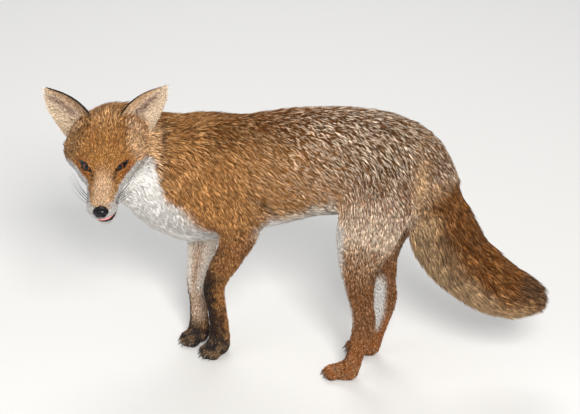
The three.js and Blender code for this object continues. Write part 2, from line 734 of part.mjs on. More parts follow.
// The head ends behind the cheeks, and the neck in front of the shoulders.
take("head", (grow) => {
  const skull = ellipsoid(SKULL_CUT.at, SKULL_CUT.radii, grow, headFrame, [20, 14]);
  const low = MUZZLE_CUT.low.map((x) => x - grow);
  const high = MUZZLE_CUT.high.map((x) => x + grow);
  return skull.add(block(low, high, headFrame));
});
const neckRoot = new THREE.Matrix4()
  .makeTranslation(...NECK_CUT.at)
  .multiply(new THREE.Matrix4().makeRotationZ(degrees(180 + NECK_CUT.yaw)))
  .multiply(new THREE.Matrix4().makeRotationY(degrees(-NECK_CUT.lean)));
take("neck", (grow) => block([-grow, -200, -200], [300, 200, 200], neckRoot));
pieces.trunk = body;

// The head is cut where its own small pieces sit.
pieces.nose = nosePad(0).subtract(nostrils);
pieces.head = pieces.head.subtract(nosePad(GAP));
for (const side of Object.keys(SIDES)) {
  pieces[`eye_${side}`] = eyeball(side, 0);
  pieces[`ear_${side}`] = ear(side, 0);
  const cuts = [eyeball(side, GAP), lidOpening(side), ear(side, GAP)];
  pieces.head = cuts.reduce((solid, cut) => solid.subtract(cut), pieces.head);
  pieces.neck = largest(pieces.neck.subtract(ear(side, GAP)));
}
const tongue = (grow) => tube(TONGUE, grow, { around: 10, every: 2 });
pieces.tongue = tongue(0);
pieces.lower_jaw = largest(pieces.head.intersect(jawRegion(0)).subtract(tongue(GAP)));
pieces.head = largest(pieces.head.subtract(jawRegion(GAP)).subtract(tongue(GAP)));
for (const [name, place] of Object.entries(FEET))
  TOES.forEach((k, i) => {
    pieces[`${name}_claw_${i + 1}`] = claw(place, k, 0);
    pieces[name] = largest(pieces[name].subtract(claw(place, k, GAP)));
  });

// Facets that the cuts left thinner than they need to be are merged, well within the gap, and the
// soles stay flat.
function thinned(solid) {
  const { vertProperties, triVerts } = solid.getMesh();
  const points = [];
  for (let i = 0; i < vertProperties.length; i += 3) points.push(vec(vertProperties.subarray(i, i + 3)));
  const faces = [];
  for (let i = 0; i < triVerts.length; i += 3) faces.push([...triVerts.subarray(i, i + 3)]);
  const thinner = simplify({ points, faces }, { limit: SLACK ** 2, weigh: () => 1 });
  for (const p of thinner.points) if (Math.abs(p.z) < 2 * SLACK) p.z = 0;
  return solidOfFaces(thinner);
}
const underfoot = block([-600, -600, -50], [600, 600, 0]);
for (const name of Object.keys(FEET)) pieces[name] = pieces[name].subtract(underfoot);
const flesh = ["head", "lower_jaw", "neck", "trunk", "tail", ...Object.keys(LEG_TOPS), ...Object.keys(FEET)];
for (const name of flesh) pieces[name] = thinned(pieces[name]);

// ---------------------------------------------------------------- meshes
const coat = new THREE.MeshStandardMaterial({ color: 0xb8763c, roughness: 0.9 });
const brown = new THREE.MeshStandardMaterial({ color: 0x6b4a33, roughness: 0.9 });
const cream = new THREE.MeshStandardMaterial({ color: 0xe4dccd, roughness: 0.9 });
const black = new THREE.MeshStandardMaterial({ color: 0x161413, roughness: 0.35 });
const horn = new THREE.MeshStandardMaterial({ color: 0x4a4038, roughness: 0.45 });
const amber = new THREE.MeshStandardMaterial({ color: 0x5a3416, roughness: 0.1 });
const pink = new THREE.MeshStandardMaterial({ color: 0xc9757a, roughness: 0.5 });

function materialOf(name) {
  if (name.includes("claw")) return horn;
  if (name.includes("paw")) return brown;
  if (name.startsWith("eye")) return amber;
  return { nose: black, tongue: pink, lower_jaw: cream }[name] ?? coat;
}

const fox = new THREE.Group();
for (const [name, solid] of Object.entries(pieces)) {
  const { vertProperties, triVerts } = solid.getMesh();
  const geometry = new THREE.BufferGeometry()
    .setAttribute("position", new THREE.BufferAttribute(new Float32Array(vertProperties), 3))
    .setIndex(new THREE.BufferAttribute(new Uint32Array(triVerts), 1));
  geometry.computeVertexNormals();
  const mesh = new THREE.Mesh(geometry, materialOf(name));
  mesh.name = name;
  fox.add(mesh);
}

// The origin is under the middle of the whole animal.
const reach = new THREE.Box3().setFromObject(fox);
const middle = reach.getCenter(new THREE.Vector3());
fox.position.set(-middle.x, -middle.y, 0);

export default fox;
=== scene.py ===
"""A red fox standing with its head turned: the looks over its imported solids, in metres.

One skin stands for the solids of flesh and lies inside them by the depth of the coat. The coat is made of
solid tufts that follow its lie. Skin and coat take their colours from the same markings."""
import math

import bmesh
import bpy
import numpy as np
from mathutils import Matrix, Vector
from mathutils.bvhtree import BVHTree
from mathutils.kdtree import KDTree


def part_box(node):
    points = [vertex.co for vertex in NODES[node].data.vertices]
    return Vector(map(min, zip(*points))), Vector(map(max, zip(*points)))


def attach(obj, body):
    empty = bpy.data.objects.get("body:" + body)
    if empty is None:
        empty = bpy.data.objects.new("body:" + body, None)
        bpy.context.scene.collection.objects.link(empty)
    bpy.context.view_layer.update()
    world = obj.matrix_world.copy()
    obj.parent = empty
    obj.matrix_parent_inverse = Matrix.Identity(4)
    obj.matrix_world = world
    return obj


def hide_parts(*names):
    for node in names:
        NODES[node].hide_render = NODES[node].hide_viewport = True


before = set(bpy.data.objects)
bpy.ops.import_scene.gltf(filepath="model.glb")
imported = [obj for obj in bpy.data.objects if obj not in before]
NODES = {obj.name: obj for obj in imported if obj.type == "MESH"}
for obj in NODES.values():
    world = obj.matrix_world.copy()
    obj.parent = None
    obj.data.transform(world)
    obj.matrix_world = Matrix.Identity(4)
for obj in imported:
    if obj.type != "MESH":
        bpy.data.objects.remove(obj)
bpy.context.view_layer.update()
MM = 0.001
rng = np.random.default_rng(20)

# ------------------------------------------------------------------ driving dimensions
VOXEL = 2.2 * MM  # grid of the skin
SWELL = 0.35 * MM  # how far the solids are grown so that the thin cuts between them close
WELD = 0.01 * MM
TUFTS = 245_000  # six triangles each
PIECE_TUFTS = 32_000  # the most tufts in one piece of coat
TUFTS_PER_LOCK = 4
LOCK_PULL = 0.7  # how far the tips of a lock come together
PALE_TUFTS = 1.35  # how many tufts are pale for each share of pale that is to be seen
UV_PATCH = 0.003  # how much of the unwrap one tuft covers
FOLD_DEPTH = 2.5 * MM  # how far the skin is drawn in behind the elbow, and out at the root of the tail
TAIL_ROOT = np.array([0.212, 0.057, 0.304])
TAIL_ROOT_RADIUS = 0.015
FLOOR_HALF = 40.0
CAMERA = {"azimuth": 18, "elevation": 26, "distance": 2.6, "height": 0.24, "back": 0.0248, "lens": 116.2}

# Places on the head, in mm, in its own frame: x forward, y to the fox's left, z up.
SOLID_EYE_AT = (3.5, 19, 3.8)
EYE_AT = {"left": (5.7, 17.8, 1.6), "right": (5.7, 20.4, 1.6)}
EYE_RADIUS = 9.7
SOCKET_GAP = 0.15  # round the eyeball
SOLID_NOSE_AT = (71, 0, -25)
NOSE_RADII = (8.4, 10.4, 7.6)
MUZZLE_ROOT = 14  # the x from which the muzzle is moved
SNOUT_SHIFT = (2.0, -3.4, -2.4)  # how far it is moved at the nose, above the lips
JAW_SHIFT = (3.0, 2.0, -4.0)  # and below them
NOSE_AT = tuple(a + b for a, b in zip(SOLID_NOSE_AT, SNOUT_SHIFT))
MOUTH_HALF = 40  # half the width of the slit between the lips
EAR_ROOT = (-54, 31, 19)
EAR_TIP = (-45, 84, 93)
EAR_FACES = (0.92, 0.2, 0)
# The lid openings: inner and outer corner, and half the height of the opening at its middle. The fox
# squints a little, more with its left eye.
LIDS = {
    "left": {"inner": (22.2, 14.4, 2.0), "outer": (2.4, 32.2, 6.4), "high": 3.0},
    "right": {"inner": (22.2, 17.0, 2.0), "outer": (2.4, 34.9, 6.4), "high": 4.1},
}
# The line of the closed lips from the corner of the mouth forward, x and z, and how far it opens there.
LIP_LINE = (
    (12, -32, 0.3), (24, -32, 0.3), (42, -32.2, 0.4), (56, -34.2, 1.2), (68, -37.6, 4.2), (88, -40.6, 5.2),
)
SIDES = {"left": 1, "right": -1}


# ------------------------------------------------------------------ small helpers
def unit(v):
    v = np.asarray(v, float)
    return v / np.maximum(np.linalg.norm(v, axis=-1, keepdims=True), 1e-12)


def middle(node):
    low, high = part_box(node)
    return np.array((low + high) / 2)


def step(low, high, x):
    """Rises smoothly from 0 at low to 1 at high; falls where high is below low."""
    t = np.clip((x - low) / (high - low), 0, 1)
    return t * t * (3 - 2 * t)


def blend(a, b, share):
    """a where share is 0 and b where it is 1."""
    share = np.asarray(share)[..., None]
    return a * (1 - share) + b * share


def along_curve(x, knots):
    """The value at x of the line through knots of (x, value)."""
    xs, ys = zip(*knots)
    return np.interp(x, xs, ys)


def apart(axes):
    """The square of how far values are from a centre, in radii; each axis is (values, centre, radius)."""
    return sum(((x - centre) / radius) ** 2 for x, centre, radius in axes)


def spot(*axes):
    """A soft spot: 1 at its centre, falling off over its radii."""
    return np.exp(-apart(axes))


def away(*axes):
    """How far values are from a centre, in radii."""
    return np.sqrt(apart(axes))


def dot(a, b):
    return np.einsum("ij,ij->i", a, np.broadcast_to(b, a.shape))


WAVES = unit(rng.normal(size=(8, 3))) * rng.uniform(0.6, 1.6, (8, 1))
PHASES = rng.uniform(0, 2 * math.pi, (6, 8))


def ripple(points, size, kind=0):
    """A smooth random value from about -1 to 1 that changes over `size` metres."""
    turned = points @ WAVES.T * (2 * math.pi / size) + PHASES[kind]
    return np.sin(turned + 1.7 * np.sin(turned[:, ::-1] * 0.6)).mean(axis=1) * 2.2


# ------------------------------------------------------------------ frames of the animal
class Head:
    """The head's frame, found from its eyes and nose."""

    left = unit(middle("eye_left") - middle("eye_right"))
    between = (middle("eye_left") + middle("eye_right")) / 2
    to_nose = middle("nose") - between
    to_nose = unit(to_nose - left * (to_nose @ left))
    # How far the line from between the eyes to the solid nose falls.
    drop = math.atan2(SOLID_EYE_AT[2] - SOLID_NOSE_AT[2], SOLID_NOSE_AT[0] - SOLID_EYE_AT[0])
    forward = math.cos(drop) * to_nose + math.sin(drop) * np.cross(to_nose, left)
    up = np.cross(forward, left)
    axes = np.stack([forward, left, up])
    origin = between - (SOLID_EYE_AT[0] * forward + SOLID_EYE_AT[2] * up) * MM


def head_point(place, side=1):
    """A place given in mm in the head's frame; side is -1 where it is mirrored to the fox's right."""
    x, y, z = place
    return Head.origin + np.array([x, y * side, z]) * MM @ Head.axes


def head_way(way, side=1):
    x, y, z = way
    return unit(np.array([x, y * side, z]) @ Head.axes)


def in_head(points):
    """Points in the head's frame, in mm."""
    return (points - Head.origin) @ Head.axes.T / MM


def lips(x):
    """The height of the closed lips at x, and how far they open there."""
    xs, heights, gaps = zip(*LIP_LINE)
    return np.interp(x, xs, heights), np.interp(x, xs, gaps)


def in_mouth(h, start, above, below):
    """True from x = start forward, between the lips or a little above or below them."""
    lip, gap = lips(h[:, 0])
    return (h[:, 0] > start) & (h[:, 2] < lip + above) & (h[:, 2] > lip - gap - below)


def turn_share(x):
    """How far the muzzle is moved at x: 0 at its root, 1 at the nose."""
    return np.clip((x - MUZZLE_ROOT) / (SOLID_NOSE_AT[0] - MUZZLE_ROOT), 0, 1.3) ** 1.5


def turned_muzzle(points):
    """Moves the snout a little down and to the fox's right, and the lower jaw down and to its left, more
    towards the nose: the mouth is a little open and askew."""
    x, y, z = in_head(points).T
    share = turn_share(x) * step(70, 50, np.abs(y)) * (z > -70)
    move = blend(np.array(SNOUT_SHIFT), np.array(JAW_SHIFT), step(1.5, -2.5, z - lips(x)[0]))
    return points + share[:, None] * move * MM @ Head.axes


def spine(node, start, rows=9):
    """The line through the middles of a long node's slices, from the end nearer `start`."""
    points = np.array([v.co for v in NODES[node].data.vertices])
    axis = unit(np.linalg.svd(points - points.mean(0), full_matrices=False)[2][0])
    if (start - points.mean(0)) @ axis > 0:
        axis = -axis
    place = (points - points.mean(0)) @ axis
    edges = np.linspace(place.min(), place.max() + 1e-9, rows + 1)
    rings = [points[(place >= a) & (place < b)] for a, b in zip(edges, edges[1:])]
    return np.array([(r.min(0) + r.max(0)) / 2 for r in rings if len(r) > 3])


def on_spine(line, points):
    """Where points lie along a spine, from 0 to 1, and the way it runs there."""
    best = np.full(len(points), np.inf)
    share = np.zeros(len(points))
    way = np.zeros((len(points), 3))
    for i, (a, b) in enumerate(zip(line, line[1:])):
        t = np.clip((points - a) @ (b - a) / ((b - a) @ (b - a)), 0, 1)
        far = np.linalg.norm(points - a - t[:, None] * (b - a), axis=1)
        nearer = far < best
        best[nearer] = far[nearer]
        share[nearer] = (i + t[nearer]) / (len(line) - 1)
        way[nearer] = unit(b - a)
    return share, way


TRUNK_MIDDLE = middle("trunk")
LIMBS = {
    "neck": np.array([head_point((-48, 0, 0)), TRUNK_MIDDLE + (-0.13, 0, -0.01)]),
    "trunk": np.array([TRUNK_MIDDLE + (-0.2, 0, -0.02), TRUNK_MIDDLE + (0.2, 0, 0.02)]),
    "tail": spine("tail", TRUNK_MIDDLE),
}
for leg in ("foreleg_left", "foreleg_right", "hindleg_left", "hindleg_right"):
    LIMBS[leg] = spine(leg, TRUNK_MIDDLE)


# ------------------------------------------------------------------ meshes from arrays
def new_object(name, data):
    ob = bpy.data.objects.new(name, data)
    bpy.context.scene.collection.objects.link(ob)
    return ob


def make_mesh(name, points, faces, smooth=True):
    """An object from points and faces; faces is a list of arrays, each with faces of one size."""
    mesh = bpy.data.meshes.new(name)
    sizes = np.concatenate([np.full(len(f), f.shape[1]) for f in faces])
    loops = np.concatenate([f.ravel() for f in faces])
    starts = np.concatenate([[0], np.cumsum(sizes)[:-1]])
    mesh.vertices.add(len(points))
    mesh.vertices.foreach_set("co", np.ascontiguousarray(points, np.float32).ravel())
    mesh.loops.add(len(loops))
    mesh.loops.foreach_set("vertex_index", loops.astype(np.int32))
    mesh.polygons.add(len(sizes))
    mesh.polygons.foreach_set("loop_start", starts.astype(np.int32))
    mesh.polygons.foreach_set("use_smooth", np.full(len(sizes), smooth))
    mesh.update(calc_edges=True)
    mesh.validate()
    return new_object(name, mesh)


def rows_of(items, key, width, kind=np.float32):
    """One value of all of a mesh's points, edges or corners, as rows of `width` numbers."""
    values = np.zeros(len(items) * width, kind)
    items.foreach_get(key, values)
    return values.reshape(-1, width)


def points_of(mesh):
    return rows_of(mesh.vertices, "co", 3).astype(float)


def set_points(mesh, points):
    mesh.vertices.foreach_set("co", points.astype(np.float32).ravel())
    mesh.update()


def normals_of(mesh):
    return rows_of(mesh.vertices, "normal", 3).astype(float)


def edges_of(mesh):
    return rows_of(mesh.edges, "vertices", 2, np.int32)


def relaxed(values, edges, rounds, share=0.5):
    """Values at the ends of edges, drawn towards their neighbours' mean."""
    a, b = edges.T
    count = len(values)
    degree = np.maximum(np.bincount(edges.ravel(), minlength=count), 1)[:, None]
    share = np.broadcast_to(np.asarray(share, float), (count,))[:, None]
    for _ in range(rounds):
        total = np.stack(
            [np.bincount(a, v[b], count) + np.bincount(b, v[a], count) for v in values.T], axis=1
        )
        values = values + share * (total / degree - values)
    return values


def settled(ob):
    """The object with its modifiers applied."""
    graph = bpy.context.evaluated_depsgraph_get()
    mesh = bpy.data.meshes.new_from_object(ob.evaluated_get(graph))
    old = ob.data
    ob.modifiers.clear()
    ob.data = mesh
    bpy.data.meshes.remove(old)
    return ob


def rounded(ob, levels):
    modifier = ob.modifiers.new("round", "SUBSURF")
    modifier.levels = modifier.render_levels = levels
    return settled(ob)


def paint(ob, name, colours):
    """Stores a colour for each vertex."""
    if name in ob.data.color_attributes:
        ob.data.color_attributes.remove(ob.data.color_attributes[name])
    layer = ob.data.color_attributes.new(name, "FLOAT_COLOR", "POINT")
    rgba = np.ones((len(colours), 4), np.float32)
    rgba[:, :3] = colours
    layer.data.foreach_set("color", rgba.ravel())


def cut(ob, cutter, operation="DIFFERENCE"):
    modifier = ob.modifiers.new("cut", "BOOLEAN")
    modifier.operation = operation
    modifier.solver = "MANIFOLD"
    modifier.object = cutter
    settled(ob)
    bpy.data.objects.remove(cutter)


def band(rows, around, first=0):
    """The quads between neighbouring rings of `around` points, numbered from `first`."""
    i, j = np.meshgrid(np.arange(rows - 1), np.arange(around), indexing="ij")
    a = (first + i * around + j).ravel()
    b = (first + i * around + (j + 1) % around).ravel()
    return np.stack([a, b, b + around, a + around], axis=1)


def fan(centre, ring):
    """The triangles between one point and a ring, whose points are given in order."""
    return np.stack([np.full(len(ring), centre), ring, np.roll(ring, -1)], axis=1)


def circle(around):
    """Cosine and sine of equal turns round a circle."""
    turn = np.arange(around) * 2 * math.pi / around
    return np.cos(turn), np.sin(turn)


def ball(name, centre, axes, radii, rings=24, around=32, shape=None):
    """A closed ball of quads and triangles; axes are its three unit ways, and shape moves its points."""
    polar = np.linspace(0, math.pi, rings + 1)[1:-1]
    high, aside = (np.outer(np.sin(polar), part).ravel() for part in circle(around))
    grid = np.stack([np.repeat(np.cos(polar), around), high, aside], axis=1)
    sphere = np.vstack([[1, 0, 0], grid, [-1, 0, 0]])
    body = sphere * radii
    if shape:
        body = shape(sphere, body)
    quads = band(rings - 1, around, 1)[:, [0, 3, 2, 1]]
    first = 1 + np.arange(around)
    last = len(sphere) - 1
    ends = np.vstack([fan(0, first), fan(last, last - around - 1 + first)[:, [0, 2, 1]]])
    return make_mesh(name, centre + body @ axes, [quads, ends])


# ------------------------------------------------------------------ the skin
FLESH = [n for n in NODES if not n.startswith(("eye", "nose", "tongue", "ear")) and "claw" not in n]
EARS = ["ear_left", "ear_right"]


def welded(node, swell=0.0):
    """A CAD node's mesh with its corners joined, grown by `swell`."""
    shape = bmesh.new()
    shape.from_mesh(NODES[node].data)
    bmesh.ops.remove_doubles(shape, verts=shape.verts, dist=WELD)
    bmesh.ops.recalc_face_normals(shape, faces=shape.faces)
    shape.normal_update()
    for v in shape.verts:
        v.co += v.normal * swell
    mesh = bpy.data.meshes.new(node + "_copy")
    shape.to_mesh(mesh)
    shape.free()
    return mesh


def joined_flesh():
    """The solids of flesh and the eyes in one closed mesh."""
    whole = bmesh.new()
    for node in FLESH + ["eye_left", "eye_right"]:
        whole.from_mesh(welded(node, SWELL))
    mesh = bpy.data.meshes.new("skin")
    whole.to_mesh(mesh)
    whole.free()
    skin = new_object("skin", mesh)
    remesh = skin.modifiers.new("voxels", "REMESH")
    remesh.mode = "VOXEL"
    remesh.voxel_size = VOXEL
    return settled(skin)


def node_finder(names):
    """A function that gives, for each point, the place in names of the node nearest to it."""
    points, faces, owner = [], [], []
    for k, name in enumerate(names):
        base = len(points)
        mesh = NODES[name].data
        points += [v.co for v in mesh.vertices]
        faces += [[base + i for i in p.vertices] for p in mesh.polygons]
        owner += [k] * len(mesh.polygons)
    tree = BVHTree.FromPolygons(points, faces)
    return lambda at: np.array([owner[tree.find_nearest(Vector(p))[2]] for p in at])


PARTS = FLESH + EARS
part_index = {name: k for k, name in enumerate(PARTS)}
nearest_part = node_finder(PARTS)


def is_part(part, *starts):
    """True where the name of the part begins with one of starts."""
    return np.isin(part, [k for name, k in part_index.items() if name.startswith(starts)])


def coat_depth(points, part):
    """How far the skin lies inside the solids, in metres."""
    depth = np.full(len(points), 4.5)
    depth[is_part(part, "neck")] = 5.5
    depth[is_part(part, "trunk") & (points[:, 0] > 0.14)] = 3.0
    depth[is_part(part, "forepaw", "hindpaw")] = 1.3
    tail = is_part(part, "tail")
    depth[tail] = along_curve(on_spine(LIMBS["tail"], points[tail])[0], [(0, 4), (0.3, 7)])
    legs = is_part(part, "foreleg", "hindleg")
    depth[legs] = along_curve(points[legs, 2], [(0.03, 1.6), (0.12, 2.2), (0.2, 3.4), (0.3, 4.5)])
    head = is_part(part, "head", "lower_jaw")
    x = in_head(points[head])[:, 0]
    depth[head] = along_curve(x, [(-60, 5.0), (-40, 4.5), (-15, 2.6), (5, 1.5), (75, 1.1)])
    return depth * MM


def head_change(points):
    """How much lower than by the coat's depth the skin lies behind the crown and in front of the ears. On
    the crown and round the eyes it is higher."""
    x, y, z = in_head(points).T
    aside = np.abs(y)
    nape = step(-140, -100, x) * step(-66, -84, x) * step(0, 30, z)
    crown = spot((x, -56, 15), (y, 0, 30)) * step(10, 30, z)
    under_ears = spot((x, -42, 12), (aside, 40, 13)) * step(10, 24, z)
    round_eyes = spot((x, 12, 11), (aside, 25, 11), (z, 2, 11))
    return (6.0 * nape - 6.5 * crown + 3.0 * under_ears - 2.2 * round_eyes) * MM


def smoothing_share(part):
    """How far each round of smoothing takes a point of the skin: less where the solids are finer."""
    share = np.full(len(part), 0.5)
    for name, value in {"head": 0.16, "lower_jaw": 0.1, "fore": 0.3, "hind": 0.3}.items():
        share[is_part(part, name)] = value
    share[is_part(part, "forepaw", "hindpaw")] = 0.04
    return share


def finer(ob, chosen):
    """Cuts the faces whose corners are all chosen into quarters."""
    shape = bmesh.new()
    shape.from_mesh(ob.data)
    shape.verts.ensure_lookup_table()
    edges = [e for e in shape.edges if chosen[e.verts[0].index] and chosen[e.verts[1].index]]
    bmesh.ops.subdivide_edges(shape, edges=edges, cuts=1, use_grid_fill=True)
    shape.to_mesh(ob.data)
    shape.free()


def make_skin():
    """The flesh in one smooth skin, sunk by the depth of the coat, with the muzzle in its pose."""
    skin = joined_flesh()
    points = points_of(skin.data)
    part = nearest_part(points)
    edges = edges_of(skin.data)
    share = relaxed(smoothing_share(part)[:, None], edges, 12)[:, 0]
    points = relaxed(points, edges, 36, share)
    x, y, z = in_head(points).T
    nape = step(-28, -48, x) * step(-125, -90, x) * step(-12, 12, z) * step(62, 40, np.abs(y))
    points = relaxed(points, edges, 220, 0.5 * nape)
    set_points(skin.data, points)

    tail_root = spot((np.linalg.norm(points - TAIL_ROOT, axis=1), 0, TAIL_ROOT_RADIUS))
    depth = coat_depth(points, part) + head_change(points)
    depth = depth + FOLD_DEPTH * elbow_fold(points) - FOLD_DEPTH * tail_root
    set_points(skin.data, points - normals_of(skin.data) * relaxed(depth[:, None], edges, 14))
    x, y, z = in_head(points).T
    finer(skin, (x > -75) & (np.abs(y) < 75) & (np.abs(z) < 75) & is_part(part, "head", "lower_jaw"))
    points = points_of(skin.data)
    near = step(110, 80, np.linalg.norm(in_head(points), axis=1))
    points = relaxed(points, edges_of(skin.data), 6, 0.5 * near)
    set_points(skin.data, turned_muzzle(points))
    return skin


# ------------------------------------------------------------------ lids, mouth and ears in the skin
def lid_frame(side):
    """An eye's opening: its middle, unit ways along it, up across it and out, and half its length."""
    s = SIDES[side]
    inner, outer = (head_point(LIDS[side][k], s) for k in ("inner", "outer"))
    centre = head_point(EYE_AT[side], s)
    mid = (inner + outer) / 2
    out = unit(mid - centre)
    along = outer - inner
    half = np.linalg.norm(along) / 2
    along = unit(along - out * (along @ out))
    high = np.cross(out, along)
    if high @ Head.up < 0:
        high = -high
    return mid, along, high, out, half


def almond(side, grow=0.0, count=48):
    """The lid opening as points (along, high) in metres, grown outwards by `grow`."""
    half = lid_frame(side)[4]
    x, y = circle(count)
    bow = LIDS[side]["high"] * MM * np.where(y >= 0, 1.1, 0.9)
    outline = np.stack([half * x, np.sign(y) * bow * (1 - np.abs(x) ** 1.9) ** 0.9], axis=1)
    return outline + unit(np.stack([x * 0.6, y], axis=1)) * grow


def open_lids(skin):
    """Cuts the opening of each eye into the skin."""
    for side, s in SIDES.items():
        mid, along, high, out, _ = lid_frame(side)
        line = almond(side, 0.4 * MM)
        lower = mid - out * 9 * MM + line[:, :1] * along + line[:, 1:] * high
        ring = np.arange(len(line))
        faces = [band(2, len(ring)), ring[::-1][None], ring[None] + len(ring)]
        if np.cross(along, high) @ out < 0:
            faces = [f[:, ::-1] for f in faces]
        cut(skin, make_mesh("opening", np.vstack([lower, lower + out * 40 * MM]), faces))
        centre = head_point(EYE_AT[side], s)
        cut(skin, ball("socket", centre, Head.axes, np.full(3, (EYE_RADIUS + SOCKET_GAP) * MM)))


def lids(side, tree):
    """The dark margins of the lids: a closed band from the skin to the eyeball, round the opening.
    Returns its points and faces, and the share of dark at each point."""
    mid, along, high, out, half = lid_frame(side)
    centre = head_point(EYE_AT[side], SIDES[side])

    def on_skin(line, above):
        ring = []
        for u, v in line:
            p = mid + u * along + v * high
            hit = tree.ray_cast(Vector(p + out * 0.03), Vector(-out))[0]
            ring.append(p + out * (((np.array(hit) - p) @ out if hit else 0.0) + above))
        return np.array(ring)

    def on_ball(line, above):
        reach = EYE_RADIUS * MM + above
        rise = np.sqrt(np.maximum(reach**2 - (line**2).sum(axis=1), (0.35 * reach) ** 2))
        return centre + line[:, :1] * along + line[:, 1:] * high + rise[:, None] * out

    wide = [almond(side, g * MM) for g in (2.4, 1.3, 0.5)]
    near = almond(side)
    near[:, 0] *= 8.8 * MM / half  # so that its corners lie on the eyeball
    skin_at = [on_skin(w, a * MM) for w, a in zip(wide, (0.0, 0.45, 0.1))]
    margin = on_ball(near * 1.1, 1.0 * MM)
    rings = [
        skin_at[0],
        skin_at[1],
        skin_at[2] * 0.75 + margin * 0.25,
        margin,
        on_ball(near, 0.25 * MM),
        on_ball(near * 0.96, -1.2 * MM),
        skin_at[0] - out * 4 * MM,
    ]
    points = np.vstack([relaxed_ring(r) for r in rings])
    dark = np.repeat([0.15, 0.65, 1, 1, 1, 1, 1], len(near))
    faces = band(len(rings) + 1, len(near)) % len(points)
    if np.cross(along, high) @ out < 0:
        faces = faces[:, ::-1]
    return points, faces, dark


def relaxed_ring(ring, rounds=2):
    for _ in range(rounds):
        ring = 0.5 * ring + 0.25 * (np.roll(ring, 1, axis=0) + np.roll(ring, -1, axis=0))
    return ring


def open_mouth(skin):
    """Cuts the slit between the lips, a little open at the front."""
    outline = [(x, z) for x, z, _ in LIP_LINE] + [(x, z - gap) for x, z, gap in LIP_LINE][::-1]
    points = [head_point((x, y, z)) for y in (-MOUTH_HALF, MOUTH_HALF) for x, z in outline]
    ring = np.arange(len(outline))
    faces = [band(2, len(ring))[:, [0, 3, 2, 1]], ring[None], ring[::-1][None] + len(ring)]
    cut(skin, make_mesh("slit", np.array(points), faces))


def ear_shell(side):
    """The ear's solid, made smooth."""
    ob = rounded(new_object("ear_shell", welded("ear_" + side)), 3)
    set_points(ob.data, relaxed(points_of(ob.data), edges_of(ob.data), 4))
    return ob


# ------------------------------------------------------------------ fields over the skin
def ear_axes(side):
    """An ear's root and tip, and unit ways along it, out of its hollow and across it."""
    root, tip = head_point(EAR_ROOT, SIDES[side]), head_point(EAR_TIP, SIDES[side])
    along = unit(tip - root)
    faces = head_way(EAR_FACES, SIDES[side])
    faces = unit(faces - along * (faces @ along))
    return root, tip, along, faces, np.cross(along, faces)


def in_ear(points, side):
    """Where points lie on an ear: share of its height, mm across it and mm in front of its axis."""
    root, tip, along, faces, across = ear_axes(side)
    offset = points - root
    return offset @ along / np.linalg.norm(tip - root), offset @ across / MM, offset @ faces / MM


def ear_facing(points, normals, side):
    """How far the surface of an ear faces the middle of its hollow: 1 straight at it, below 0 away."""
    root, tip, _, faces, _ = ear_axes(side)
    height = in_ear(points, side)[0]
    focus = root + height[:, None] * (tip - root) + faces * 0.022 * (1.15 - height)[:, None]
    return dot(normals, unit(focus - points))


def ear_inside(points, normals, side):
    """1 on the hollow side of an ear, 0 on its back."""
    return step(0.05, 0.45, ear_facing(points, normals, side))


def part_ways(points, normals, name):
    """The way the coat of one part would lie at each point, before it is laid on the surface."""
    x, _, z = points.T
    if name == "trunk":
        way = blend(np.array([1.0, 0.0, -0.5]), np.array([0.5, 0.0, -0.8]), step(0.04, 0.17, x))
        way = blend(way, np.array([0.5, 0.0, -1.0]), step(-0.1, -0.19, x))
        return blend(way, np.array([1.0, 0.0, -0.1]), step(-0.3, -0.8, normals[:, 2]))
    if name == "neck":
        throat = step(0.1, -0.6, normals[:, 2])[:, None]
        return on_spine(LIMBS["neck"], points)[1] + (0.15 + 0.5 * throat) * np.array([0.2, 0, -1.0])
    if name == "tail":
        return on_spine(LIMBS["tail"], points)[1]
    if "leg" in name:
        back = 0.75 if name.startswith("fore") else 0.3
        high = step(0.16, 0.3, z)[:, None] * np.array([back, 0, 0])
        return on_spine(LIMBS[name], points)[1] + np.array([0.1, 0, -0.1]) + high
    if "paw" in name:
        toes = unit(np.mean([middle(f"{name}_claw_{k}") for k in (1, 2, 3, 4)], axis=0) - middle(name))
        return np.tile(toes + np.array([0, 0, -0.5]), (len(points), 1))
    if name.startswith("ear"):
        side = name.split("_")[1]
        _, _, along, _, across = ear_axes(side)
        inside = ear_inside(points, normals, side)[:, None]
        outwards = np.clip(in_ear(points, side)[1] * SIDES[side] / 22, -0.15, 1)[:, None]
        return along + inside * outwards * across * SIDES[side] * 0.8
    x, y, z = in_head(points).T
    cheek = step(20, -30, x) * step(12, 40, np.abs(y)) * step(30, 0, z)
    sideways = np.sign(y)[:, None] * Head.left - 0.7 * Head.up
    return unit(points - head_point((80, 0, -14))) + (0.6 * cheek)[:, None] * sideways


# ------------------------------------------------------------------ markings
def colour(red, green, blue):
    """A colour from its sRGB bytes, in linear light."""
    c = np.array([red, green, blue]) / 255
    return np.where(c <= 0.04045, c / 12.92, ((c + 0.055) / 1.055) ** 2.4)


